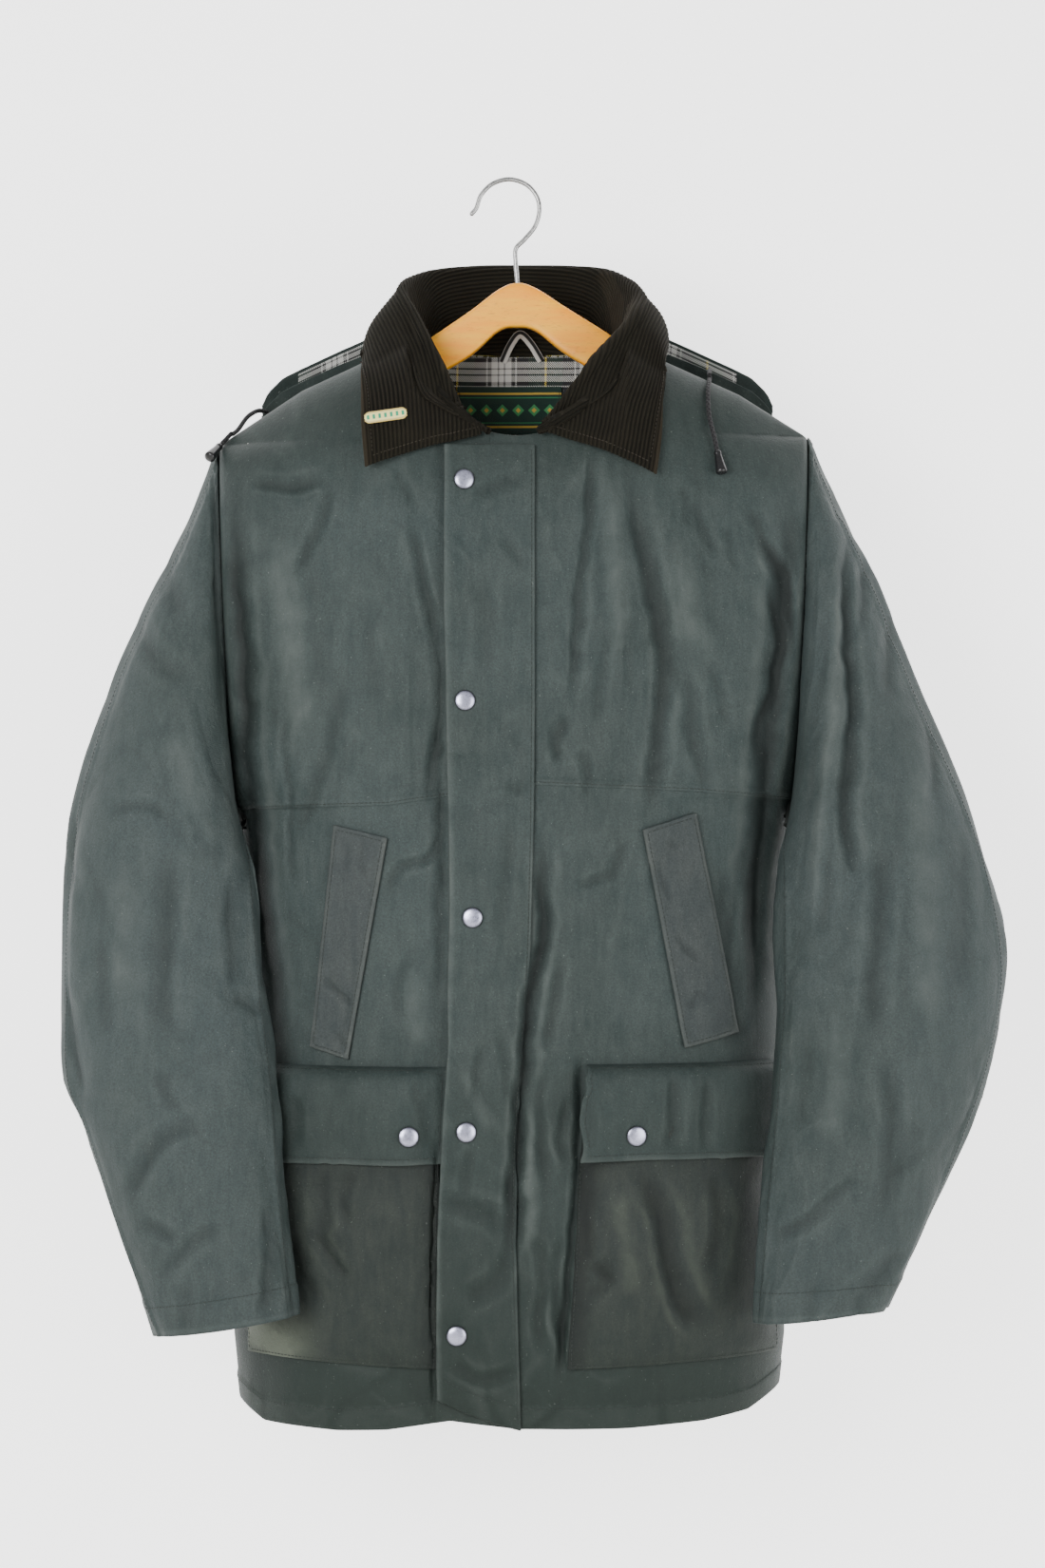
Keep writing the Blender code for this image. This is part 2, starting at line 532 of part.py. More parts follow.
def clear_of_front(points, clearance):
    """Keep the points of something that hangs over the chest in front of it."""
    x, y, z = points[..., 0], points[..., 1], points[..., 2]
    limit = body_y(x, z, True) - clearance
    on_chest = (z < top_z(x, True) + LEAF_REACH) & (y < -2)
    points[..., 1] = np.where(on_chest, np.minimum(y, limit), y)
    return points


def build_collar():
    along = np.linspace(len(COLLAR) - 1, 0, COLLAR_SECTIONS)
    grid = collar_points(along, np.linspace(0, 1, 3), np.linspace(0, 1, 4)[1:-1], np.linspace(0, 1, 4))
    shell("collar", grid, CORDUROY, "brown_corduroy")


def build_pin():
    section, part = PIN_PLACE
    reach = np.array([-PIN_REACH, 0, PIN_REACH])
    around = collar_points(section + reach, [], [], part + reach)
    centre = around[1, 1]
    down = around[2, 1] - around[0, 1]
    along = around[1, 2] - around[1, 0]
    normal = np.cross(down, along)
    normal /= np.linalg.norm(normal)
    if normal[1] > 0:
        normal = -normal
    centre = centre + normal * (PIN_SIZE[2] / 2 + PIN_GAP)
    bpy.ops.mesh.primitive_cube_add(size=1)
    thing = bpy.context.object
    thing.name = "collar_pin"
    thing.data.materials.append(finish_of("cream_enamel"))
    for owner in list(thing.users_collection):
        owner.objects.unlink(thing)
    bpy.data.collections[OBJECT_NAME].objects.link(thing)
    thing.data.transform(Matrix.Diagonal([*(size * MM for size in PIN_SIZE), 1.0]))
    level = np.cross([0, 0, 1.0], normal)
    level /= np.linalg.norm(level)
    upright = np.cross(normal, level)
    tilt = math.radians(PIN_TILT)
    first = level * math.cos(tilt) + upright * math.sin(tilt)
    second = np.cross(normal, first)
    turn = np.eye(4)
    turn[:3, 0], turn[:3, 1], turn[:3, 2] = first, second, normal
    turn[:3, 3] = centre * MM
    thing.matrix_world = Matrix(turn.tolist())
    bevel = thing.modifiers.new("edges", "BEVEL")
    bevel.width = PIN_ROUNDING * MM
    bevel.segments = 2


# ---- What is sewn on the fronts ----

def fly_lift(share):
    """The outside of the fly above the body, by the part of its width from the free edge."""
    return FLY_GAP + FLY_CLOTH + FLY_LIFT * (1 - share) ** 2


def build_fly():
    part = np.linspace(0, 1, FLY_ROWS)[:, None]
    share = np.linspace(0, 1, FLY_COLUMNS)[None, :]
    top = FLY[0][0]
    bottom_x = FLY_BOTTOM[0][0] + (FLY_BOTTOM[-1][0] - FLY_BOTTOM[0][0]) * share
    z = top + (column(FLY_BOTTOM, bottom_x, 1) - top) * part
    free, stitched = column(FLY, z, 1), column(FLY, z, 2)
    x = free + (stitched - free) * share
    lift = fly_lift(share) + 0 * z
    shell("storm_fly", on_body(x, z, lift), FLY_CLOTH, "waxed_cotton")


def four_corners(inner_top, inner_bottom, outer_top, outer_bottom, rows, columns):
    """Places on a four-cornered patch, from its inner to its outer edge."""
    down = np.linspace(0, 1, rows)[:, None, None]
    over = np.linspace(0, 1, columns)[None, :, None]
    inner = np.asarray(inner_top, float) + (np.asarray(inner_bottom, float) - inner_top) * down
    outer = np.asarray(outer_top, float) + (np.asarray(outer_bottom, float) - outer_top) * down
    return inner + (outer - inner) * over


def patch(name, side, corners, rows, columns, lift, wall, finish):
    """A patch on a front panel. The lift is a function of the parts down and outwards."""
    places = four_corners(*corners, rows, columns)
    down = np.linspace(0, 1, rows)[:, None]
    over = np.linspace(0, 1, columns)[None, :]
    grid = on_body(places[..., 0], places[..., 1], lift(down, over))
    shell(name, grid[:, ::-1] if side < 0 else grid, wall, finish)


def bag_swell(down, over):
    """0 at the stitched sides and bottom of a bellows pocket, 1 over most of it."""
    return (1 - np.abs(2 * over - 1) ** BAG_SIDE_POWER) * (1 - down ** BAG_BOTTOM_POWER)


def build_pockets():
    for name, side in SIDES.items():
        patch(f"welt_{name}", side, WELTS[name], 9, 4,
              lambda down, over: LAY_GAP + WELT_CLOTH + 0 * down * over, WELT_CLOTH, "faded_waxed_cotton")
        near_top, far_top, near_low, far_low, top, bottom = POCKET_BAGS[name]
        corners = (near_top, top), (near_low, bottom), (far_top, top), (far_low, bottom + BAG_CORNER_RISE)
        patch(f"pocket_bag_{name}", side, corners, 10, 10,
              lambda down, over: LAY_GAP + CLOTH + BAG_DEPTH * bag_swell(down, over), CLOTH,
              "faded_waxed_cotton")
        near_top, far_top, near_low, far_low, top, bottom = POCKET_FLAPS[name]
        corners = (near_top, top), (near_low, bottom), (far_top, top), (far_low, bottom)
        patch(f"pocket_flap_{name}", side, corners, 6, 10,
              lambda down, over: (LAY_GAP + FLAP_CLOTH + (BAG_DEPTH + CLOTH + LAY_GAP)
                                  * quarter_round(down * FLAP_BEND)) + 0 * over,
              FLAP_CLOTH, "waxed_cotton")


def snap(name, x, z, lift):
    """A domed press-stud cap on the front."""
    rise = [(math.sin(turn), math.cos(turn)) for turn in np.radians(SNAP_DOME)]
    profile = [(SNAP_RADIUS * 1.05 * r, SNAP_RIM + (SNAP_HEIGHT - SNAP_RIM) * h) for r, h in rise]
    profile += [(SNAP_RADIUS, SNAP_RIM), (SNAP_RADIUS, 0), (0, 0)]
    base = on_body(np.array([x]), np.array([z]), np.array([lift + SEAM_GAP]))[0]
    ahead = on_body(np.array([x]), np.array([z]), np.array([lift + 5.0]))[0]
    direction = (ahead - base) / np.linalg.norm(ahead - base)
    pitch = math.acos(direction[2])
    yaw = math.atan2(direction[1], direction[0])
    return turned(name, profile, "pewter_snap", base, (0, pitch, yaw))


def build_snaps():
    for number, (x, z) in enumerate(FLY_SNAPS, 1):
        share = (x - column(FLY, z, 1)) / (column(FLY, z, 2) - column(FLY, z, 1))
        snap(f"fly_snap_{number}", x, z, fly_lift(share) + SNAP_STANDOFF)
    for name in SIDES:
        x, z = FLAP_SNAPS[name]
        snap(f"flap_snap_{name}", x, z, 2 * LAY_GAP + FLAP_CLOTH + CLOTH + BAG_DEPTH + SNAP_STANDOFF)


# ---- The hood ----

def hood_points(across, inset):
    """Points of the hood: down the rear layer, round the bottom and up the front layer."""
    a = across[None, :]
    x = MID_X + HOOD_HALF_WIDTH * a
    away = np.abs(HOOD_HALF_WIDTH * a)
    rear_rim = column(HOOD_RIM, away, 1) - inset
    front_rim = column(HOOD_RIM, away, 2) - inset
    power = HOOD_CORNER_POWER
    slope = power * HOOD_CORNER_RISE / HOOD_HALF_WIDTH * np.abs(a) ** (power - 1)
    bottom = HOOD_BOTTOM_Z + HOOD_CORNER_RISE * np.abs(a) ** power + inset * np.hypot(1, slope)
    depth = HOOD_EDGE_DEPTH + HOOD_DEPTH * (1 - np.abs(a) ** HOOD_DEPTH_POWER) - 2 * inset
    near = HOOD_Y + inset
    lines = []
    for part in np.linspace(0, 1, 5):
        z = rear_rim + (bottom + depth / 2 - rear_rim) * part
        lines.append((x + 0 * z, near + depth * (0.8 + 0.2 * np.sin(math.pi / 2 * part)), z))
    for turn in np.radians([40, 90, 140]):
        lines.append((x + 0 * depth, near + depth / 2 * (1 + math.cos(turn)),
                      bottom + depth / 2 * (1 - math.sin(turn))))
    for part in np.linspace(0, 1, 4):
        z = bottom + depth / 2 + (front_rim - bottom - depth / 2) * part
        lines.append((x + 0 * z, near + 0 * z, z))
    return np.stack([np.stack(np.broadcast_arrays(*line), axis=-1)[0] for line in lines])


def build_hood():
    across = np.linspace(1, -1, HOOD_COLUMNS)
    shell("hood_shell", hood_points(across, 0.0), CLOTH, "waxed_cotton")
    shell("hood_lining", hood_points(across[1:-1], LINING_INSET), TAPE, "tartan_lining")


def build_drawcords():
    for name, route in DRAWCORD.items():
        points = smooth_rows(route, np.linspace(0, len(route) - 1, DRAWCORD_POINTS))
        points = clear_of_front(points, DRAWCORD_DIAMETER / 2 + DRAWCORD_GAP)
        wire(f"drawcord_{name}", points, DRAWCORD_DIAMETER, "black_cord")
        end = points[-1]
        direction = (end - points[-3]) / np.linalg.norm(end - points[-3])
        start = end + direction * SEAM_GAP
        up = -direction
        turned(f"cord_end_{name}", CORD_END, "black_plastic", start,
               (0, math.acos(up[2]), math.atan2(up[1], up[0])))


# ---- Inside the neck ----

def inside_back(x, z, depth):
    """Points inside the back panel, a depth in from its outer surface."""
    return on_body(x, z, -np.broadcast_to(np.asarray(depth, float), np.broadcast(x, z).shape), False)


def build_neck_inside():
    left, right, bottom = NECK_LINING
    x = np.linspace(left, right, 9)[None, :]
    top = top_z(x, False) - NECK_LINING_DROP
    part = np.linspace(0, 1, 6)[:, None]
    z = top + (bottom - top) * part
    depth = CLOTH + 3 * LAY_GAP + TAPE
    shell("neck_lining", inside_back(x + 0 * z, z, depth), TAPE, "tartan_lining")
    left, right, top, bottom = NECK_LABEL
    x = np.linspace(left, right, 7)[None, :]
    z = np.linspace(top, bottom, 4)[:, None]
    shell("neck_label", inside_back(x + 0 * z, z + 0 * x, depth + LAY_GAP + TAPE), TAPE, "woven_label")


def build_hang_loop():
    middle = smooth_rows(HANG_LOOP, np.linspace(0, len(HANG_LOOP) - 1, 13))
    x, z = middle[:, 0], middle[:, 1]
    run = np.gradient(middle, axis=0)
    run /= np.linalg.norm(run, axis=1, keepdims=True)
    side = np.stack([-run[:, 1], run[:, 0]], axis=1) * HANG_LOOP_WIDTH / 2
    lines = []
    for share in (1, 0, -1):
        at_x, at_z = x + side[:, 0] * share, z + side[:, 1] * share
        y = body_y(at_x, np.full(at_x.shape, HANG_LOOP_BEND_Z), False) - HANG_LOOP_DEPTH
        lines.append(np.stack([at_x, y, at_z], axis=-1))
    shell("hang_loop", np.stack(lines), TAPE, "striped_tape")


# ---- The hanger ----

def build_hanger():
    table = np.asarray(HANGER, float)
    upper = smooth_rows(table[:, :2], np.linspace(0, len(table) - 1, 43))
    lower = smooth_rows(table[::-1, ::2], np.linspace(0, len(table) - 1, 31))
    outline = np.vstack([upper, lower])
    mesh = bpy.data.meshes.new("hanger")
    points = [(x * MM, 0.0, z * MM) for x, z in outline]
    mesh.from_pydata(points, [], [list(range(len(points)))[::-1]])
    thing = place("hanger", mesh, "varnished_beech")
    thickness = thing.modifiers.new("thickness", "SOLIDIFY")
    thickness.thickness = HANGER_THICKNESS * MM
    thickness.offset = 0.0
    rounded = thing.modifiers.new("rounded", "BEVEL")
    rounded.width = HANGER_ROUNDING * MM
    rounded.segments = 2
    rounded.limit_method = "ANGLE"
    rounded.angle_limit = math.radians(60)
    route = smooth_rows([(x, 0, z) for x, z in HOOK], np.linspace(0, len(HOOK) - 1, HOOK_POINTS))
    wire("hanger_hook", route, HOOK_WIRE, "steel_wire")


def main():
    for thing in list(bpy.data.objects):
        bpy.data.objects.remove(thing, do_unlink=True)
    collection = bpy.data.collections.new(OBJECT_NAME)
    bpy.context.scene.collection.children.link(collection)
    build_fronts()
    build_back()
    build_sleeves()
    build_collar()
    build_pin()
    build_fly()
    build_pockets()
    build_snaps()
    build_hood()
    build_drawcords()
    build_neck_inside()
    build_hang_loop()
    build_hanger()


main()
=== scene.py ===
# %% [markdown]
# # A waxed cotton jacket on its hanger
#
# This lesson builds the looks of a thigh-length waxed cotton jacket that hangs closed on a wooden
# hanger. A frame of plain solids, already loaded with every piece in its place, says how large each
# piece is and where it goes. We make the cloth, the corduroy collar, the pockets and the trim that
# the eye sees, and each new piece takes the place of its plain solid.
#
# Cloth could be simulated. Here it is drawn instead: a jacket that has hung for years keeps the same
# creases, so each piece is a surface worked out on a grid, and its folds are lines in short tables.

# %% Load the frame
import json
import math
from functools import partial

import bpy
import numpy as np
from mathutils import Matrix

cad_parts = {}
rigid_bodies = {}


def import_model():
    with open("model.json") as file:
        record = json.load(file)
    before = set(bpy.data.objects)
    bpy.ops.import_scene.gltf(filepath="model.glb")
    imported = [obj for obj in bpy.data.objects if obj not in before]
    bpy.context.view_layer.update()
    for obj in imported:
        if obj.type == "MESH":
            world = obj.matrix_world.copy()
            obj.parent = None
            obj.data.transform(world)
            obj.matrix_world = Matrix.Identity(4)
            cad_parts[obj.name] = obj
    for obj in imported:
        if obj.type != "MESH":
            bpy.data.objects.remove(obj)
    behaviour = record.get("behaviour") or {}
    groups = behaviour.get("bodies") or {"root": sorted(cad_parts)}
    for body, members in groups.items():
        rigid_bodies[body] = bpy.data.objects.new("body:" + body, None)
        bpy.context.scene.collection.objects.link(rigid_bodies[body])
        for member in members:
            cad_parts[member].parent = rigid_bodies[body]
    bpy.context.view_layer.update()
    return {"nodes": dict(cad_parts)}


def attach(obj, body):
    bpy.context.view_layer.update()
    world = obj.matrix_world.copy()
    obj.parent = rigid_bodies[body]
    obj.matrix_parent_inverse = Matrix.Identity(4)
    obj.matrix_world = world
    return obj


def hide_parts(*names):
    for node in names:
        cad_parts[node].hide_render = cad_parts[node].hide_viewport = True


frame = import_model()
MM = 0.001            # metres
TURN = 2 * math.pi    # radians
print("frame:", len(frame["nodes"]), "plain solids")

# %% [markdown]
# ## The camera
#
# The jacket is seen squarely from the front, from three metres away, so its outline hardly narrows
# towards the back. A long lens does that. The frame is upright and the camera is level with the
# middle of the jacket.

# %% Camera
camera_data = bpy.data.cameras.new("camera")
camera_data.sensor_fit = "VERTICAL"
camera_data.sensor_height = 36.0
camera_data.lens = 92.2
camera = bpy.data.objects.new("camera", camera_data)
camera.location = (0.0099, -3.0, -0.450)
camera.rotation_euler = (math.radians(90), 0, 0)
bpy.context.scene.collection.objects.link(camera)
bpy.context.scene.camera = camera
print(f"camera: {camera_data.lens:.1f} mm lens, {-camera.location.y:.0f} m away")

# %% [markdown]
# ## Curves and noise
#
# A pattern cutter needs three things: a smooth line through a few measured points, an even way to
# read a table between its rows, and a little unevenness. The unevenness is noise: random heights on a
# square lattice, eased between the corners. Seeds are fixed, so the jacket comes out the same each time.

# %% Curve and noise helpers
LATTICE = 61      # random heights along each side of the square, before they repeat


def smoothstep(value):
    """0 to 1 with flat ends: three times the square less twice the cube."""
    value = np.clip(value, 0, 1)
    return value * value * (3 - 2 * value)


def quarter_round(part):
    """0 to 1 along a quarter circle that ends flat."""
    return np.sqrt(1 - (1 - np.clip(part, 0, 1)) ** 2)


def unit(vectors):
    return vectors / np.maximum(np.linalg.norm(vectors, axis=-1, keepdims=True), 1e-9)


def column(table, value, index, key=0):
    """One column of a table at values of its key column, in straight runs."""
    rows = sorted(table, key=lambda row: row[key])
    return np.interp(value, [row[key] for row in rows], [row[index] for row in rows])


def smooth_rows(rows, at):
    """Rows of a table at whole and part row numbers, on a Catmull-Rom curve through them."""
    rows = np.asarray(rows, float)
    at = np.clip(np.asarray(at, float), 0, len(rows) - 1)
    first = np.minimum(at.astype(int), len(rows) - 2)
    part = (at - first)[..., None]
    ends = np.vstack([2 * rows[0] - rows[1], rows, 2 * rows[-1] - rows[-2]])
    a, b, c, d = (ends[first + k] for k in range(4))
    return b + 0.5 * part * (c - a + part * (2 * a - 5 * b + 4 * c - d + part * (3 * (b - c) + d - a)))


def evenly(rows, count):
    """A table's smooth curve at evenly spaced row numbers."""
    return smooth_rows(rows, np.linspace(0, len(rows) - 1, count))


def ruffle(u, v, size, seed):
    """Noise from -1 to 1: random lattice heights, eased between four corners, on a turned lattice."""
    heights = np.random.default_rng(seed).uniform(-1, 1, (LATTICE, LATTICE))
    turn = 0.6 + seed
    a = (u * math.cos(turn) + v * math.sin(turn)) / size
    b = (v * math.cos(turn) - u * math.sin(turn)) / size
    i, j = np.floor(a).astype(int), np.floor(b).astype(int)
    s, t = smoothstep(a - i), smoothstep(b - j)
    i, j, next_i, next_j = (k % LATTICE for k in (i, j, i + 1, j + 1))
    near = heights[i, j] * (1 - s) + heights[next_i, j] * s
    far = heights[i, next_j] * (1 - s) + heights[next_i, next_j] * s
    return near * (1 - t) + far * t


def crumple(u, v, seed):
    """Small creases of stiff cloth, as (height in mm, wear and painted shade). Soft dents, facets that
    meet in valleys where one warped noise is zero, and sharp ridges where others are. The ridges are
    lighter with wear; the valleys are darkened as painted shade."""
    u2 = u + 12 * ruffle(u, v, 37, seed + 1)
    v2 = 0.7 * v + 12 * ruffle(u, v, 41, seed + 2)
    facets = np.abs(ruffle(u2, v2, 58, seed + 3))
    dents = 0.4 * ruffle(u2, v2, 31, seed + 4) + 0.7 * np.abs(ruffle(u2, v2, 25, seed + 10))
    ridge = np.clip(1 - 6 * np.abs(ruffle(u2, v2, 44, seed + 5)), 0, 1) ** 1.5
    ridge = ridge * smoothstep(0.5 + ruffle(u, v, 80, seed + 6))
    fine = np.clip(1 - 5 * np.abs(ruffle(u2, v2, 21, seed + 7)), 0, 1) ** 1.5
    fine = fine * smoothstep(0.3 + ruffle(u, v, 60, seed + 9))
    # Painted shade: the valleys where the facets meet come out darker
    valley = np.exp(-(facets / 0.07) ** 2)
    return dents + 1.7 * facets + 0.6 * ridge + 0.28 * fine, 0.16 * ridge + 0.12 * fine - 0.15 * valley


def folds(x, z, table):
    """Depth of a table of folds at each point, and wear with painted shade. A row is depth, half width
    to the viewer's left and right, then x, z points down the fold. The cloth is shifted a little by
    noise first, so that no fold is quite smooth. Depth falls off on each side as a bell with a sharper
    peak, and fades at both ends. Wear is positive on the crests beside a trough; the negative value in
    the trough paints shade."""
    x, z = np.broadcast_arrays(np.asarray(x, float), np.asarray(z, float))
    x = x + 2.0 * ruffle(x, z, 19, 71) + 0.8 * ruffle(x, z, 8, 73)
    z = z + 2.0 * ruffle(x, z, 21, 72) + 0.8 * ruffle(x, z, 9, 74)
    depth, wear = np.zeros(x.shape), np.zeros(x.shape)
    for deep, left, right, *points in table:
        line = evenly(points, 5 * len(points))
        start, run = line[:-1], np.diff(line, axis=0)
        reach = 3.2 * max(left, right)
        low, high = line.min(0) - reach, line.max(0) + reach
        near = (x > low[0]) & (x < high[0]) & (z > low[1]) & (z < high[1])
        px = x[near][:, None] - start[:, 0]
        pz = z[near][:, None] - start[:, 1]
        along = np.clip((px * run[:, 0] + pz * run[:, 1]) / (run ** 2).sum(1), 0, 1)
        away = np.hypot(px - along * run[:, 0], pz - along * run[:, 1])
        which = away.argmin(1)[:, None]
        away = np.take_along_axis(away, which, 1)[:, 0]
        along = np.take_along_axis(along, which, 1)[:, 0]
        side = np.take_along_axis(run[:, 0] * pz - run[:, 1] * px, which, 1)[:, 0]
        part = (which[:, 0] + along) / len(run)
        scaled = away / np.where(side > 0, right, left) * 1.15
        ends = smoothstep(4 * part) * smoothstep(4 * (1 - part))
        depth[near] += deep * ends * (0.68 * np.exp(-scaled ** 2) + 0.32 * np.exp(-3 * scaled))
        # Wear lightens the crests beside a trough; the negative part paints shade in the trough
        crest = 0.5 * np.exp(-((scaled - 1.35) / 0.35) ** 2) - 1.3 * np.exp(-(scaled * 1.3) ** 2)
        wear[near] += np.sign(deep) * min(abs(deep) / 7, 1.0) * ends * crest
    return depth, wear


print("a fold's depth at its middle:", folds(0.0, -5.0, [(2, 3, 3, (0, 0), (0, -10))])[0])

# %% [markdown]
# ## From a grid to a piece of cloth
#
# A piece of cloth is a grid of points on its outer face. A Solidify modifier would give it a wall, but
# with square edges. Cut cloth in a jacket is nearly always folded under at its edge, so the edge is
# round. We therefore build both faces ourselves and join them with a half circle of narrow strips.
# The grid also carries a flat map of itself in metres, for weaves and checks, and an attribute of
# wear and painted shade, which later lightens the worn crests and darkens the troughs as painted shade.

# %% Cloth and tube makers
RIM = np.radians([0, 30, 60, 90])


def normals_of(points):
    """Outward normals: the direction down the grid crossed with the direction across it."""
    return unit(np.cross(np.gradient(points, axis=0), np.gradient(points, axis=1)))


def run_length(points, axis=0):
    """Length from the first row of points, or from the first column, to each one."""
    steps = np.diff(points, axis=axis, prepend=np.take(points, [0], axis=axis))
    return np.cumsum(np.linalg.norm(steps, axis=-1), axis=axis)


def flat_map(points):
    """Lengths along the rows and down the columns, in metres, from the middle of the grid."""
    over, down = run_length(points, 1), run_length(points)
    middle = points.shape[1] // 2
    return np.stack([over - over[:, middle:middle + 1], -down], axis=-1) * MM


def cut_size(points):
    """Width, length and area of the flat cloth that a grid was cut from, in metres."""
    over = np.diff(points, axis=1)[:-1]
    down = np.diff(points, axis=0)[:, :-1]
    width = np.linalg.norm(over, axis=-1).sum(1).max() * MM
    length = np.linalg.norm(down, axis=-1).sum(0).max() * MM
    area = np.linalg.norm(np.cross(over, down), axis=-1).sum() * MM * MM
    return width, length, min(area, width * length)


def make_mesh(name, points, faces, materials, face_material=None, flat=None, wear=None):
    """A smooth-shaded mesh object at the origin, from points in millimetres. The faces come as a list
    of arrays, one for each number of corners."""
    corners = np.concatenate([block.ravel() for block in faces]).astype(np.int32)
    counts = np.concatenate([np.full(len(block), block.shape[1]) for block in faces])
    mesh = bpy.data.meshes.new(name)
    mesh.vertices.add(len(points))
    mesh.vertices.foreach_set("co", (np.asarray(points) * MM).astype(np.float32).ravel())
    mesh.loops.add(len(corners))
    mesh.loops.foreach_set("vertex_index", corners)
    mesh.polygons.add(len(counts))
    mesh.polygons.foreach_set("loop_start", (np.cumsum(counts) - counts).astype(np.int32))
    if face_material is not None:
        mesh.polygons.foreach_set("material_index", face_material.astype(np.int32))
    if flat is not None:
        layer = mesh.uv_layers.new(name="UVMap")
        layer.data.foreach_set("uv", flat[corners].astype(np.float32).ravel())
    if wear is not None:
        mesh.attributes.new("wear", "FLOAT", "POINT")
        mesh.attributes["wear"].data.foreach_set("value", np.asarray(wear, np.float32))
    for material in materials:
        mesh.materials.append(material)
    mesh.update(calc_edges=True)
    mesh.validate()
    mesh.shade_smooth()
    thing = bpy.data.objects.new(name, mesh)
    bpy.context.scene.collection.objects.link(thing)
    return thing


def quads(index):
    """Faces between the neighbours of a grid of point numbers, facing out of the cloth."""
    corners = [index[:-1, :-1], index[1:, :-1], index[1:, 1:], index[:-1, 1:]]
    return np.stack(corners, axis=-1).reshape(-1, 4)


def coarser(count, step):
    """Row or column numbers of a grid a step apart, with its first and last."""
    return np.round(np.linspace(0, count - 1, max(2, (count - 1) // step + 1))).astype(int)


def coarse_place(count, keep):
    """For each of count rows, the coarse row before it and its part of the way to the next."""
    at = np.interp(np.arange(count), keep, np.arange(len(keep)))
    first = np.minimum(at.astype(int), len(keep) - 2)
    return first, at - first


def laid_behind(points, wall, keep_i, keep_j, checked):
    """A coarse inner face, a wall behind the chosen points. Where its flat parts would come through the
    bottom of a sharp fold, the coarse points round that place are moved back, three times over."""
    normal = normals_of(points)
    behind = (points - normal * wall[..., None])[np.ix_(keep_i, keep_j)]
    (i, s), (j, t) = coarse_place(len(points), keep_i), coarse_place(points.shape[1], keep_j)
    s, t = s[:, None, None], t[None, :, None]
    for _ in range(3 * checked):
        near, far = (behind[np.ix_(i + k, j)] * (1 - t) + behind[np.ix_(i + k, j + 1)] * t
                     for k in (0, 1))
        short = 0.6 - ((points - near * (1 - s) - far * s) * normal).sum(-1)
        push = np.zeros(behind.shape[:2])
        for k in (0, 1):
            for m in (0, 1):
                np.maximum.at(push, np.ix_(i + k, j + m), np.clip(short, 0, 2.5))
        behind = behind - normal[np.ix_(keep_i, keep_j)] * push[..., None]
    return behind


def loop_of(index):
    """The numbers round the edge of a grid, clockwise as seen from outside, back to the first."""
    return np.concatenate([index[0, :-1], index[:-1, -1], index[-1, :0:-1], index[::-1, 0]])


def cloth(name, points, wall, outside, inside=None, wear=None, flat=None, step=3):
    """A closed wall of cloth behind a grid of points. Past each edge of the grid, the outer face
    follows a quarter circle of half the wall's thickness. The inner face is a wall behind every
    third row and column, or another step, and triangles join it to the edge."""
    rows, columns = points.shape[:2]
    extra = len(RIM) - 1
    pad = ((extra, extra), (extra, extra))
    normal = np.pad(normals_of(points), (*pad, (0, 0)), mode="edge")
    half = np.pad(np.broadcast_to(wall, (rows, columns)) / 2, pad, mode="edge")
    middle = np.pad(points, (*pad, (0, 0)), mode="edge") - normal * half[..., None]
    down = np.pad(unit(np.gradient(points, axis=0)), (*pad, (0, 0)), mode="edge")
    over = np.pad(unit(np.gradient(points, axis=1)), (*pad, (0, 0)), mode="edge")
    i, j = np.arange(rows + 2 * extra), np.arange(columns + 2 * extra)
    past_i = np.clip(i - rows - extra + 1, 0, None) - np.clip(extra - i, 0, None)
    past_j = np.clip(j - columns - extra + 1, 0, None) - np.clip(extra - j, 0, None)
    turn = RIM[np.maximum(np.abs(past_i)[:, None], np.abs(past_j)[None, :])]
    away = unit(down * past_i[:, None, None] + over * past_j[None, :, None])
    rim = middle + away * (half * np.sin(turn))[..., None]
    rise = normal * (half * np.cos(turn))[..., None]
    outer = np.arange(turn.size).reshape(turn.shape)
    keep_i, keep_j = coarser(rows, step), coarser(columns, step)
    chosen = np.ix_(keep_i, keep_j)
    behind = laid_behind(points, np.broadcast_to(wall, (rows, columns)), keep_i, keep_j, step > 1)
    inner = turn.size + np.arange(len(keep_i) * len(keep_j)).reshape(len(keep_i), len(keep_j))
    nearest_i = np.abs(np.clip(i - extra, 0, rows - 1)[:, None] - keep_i).argmin(1)
    nearest_j = np.abs(np.clip(j - extra, 0, columns - 1)[:, None] - keep_j).argmin(1)
    edge, facing = loop_of(outer), loop_of(inner[nearest_i][:, nearest_j])
    moved = facing[:-1] != facing[1:]
    join = np.concatenate([np.stack([edge[:-1], edge[1:], facing[:-1]], axis=1),
                           np.stack([edge[1:], facing[1:], facing[:-1]], axis=1)[moved]])
    faces = [quads(outer), quads(inner)[:, ::-1], join]
    back = np.concatenate([np.full(len(block), k == 1 and inside is not None)
                           for k, block in enumerate(faces)])
    flat = flat_map(points) if flat is None else flat
    wear = np.zeros((rows, columns)) if wear is None else wear
    places = np.vstack([(rim + rise).reshape(-1, 3), behind.reshape(-1, 3)])
    outer_flat = np.pad(flat, (*pad, (0, 0)), mode="edge")
    flat = np.vstack([outer_flat.reshape(-1, 2), flat[chosen].reshape(-1, 2)])
    wear = np.concatenate([np.pad(wear, pad, mode="edge").ravel(), 0 * wear[chosen].ravel()])
    materials = [outside] if inside is None else [outside, inside]
    return make_mesh(name, places, faces, materials, back, flat, wear)


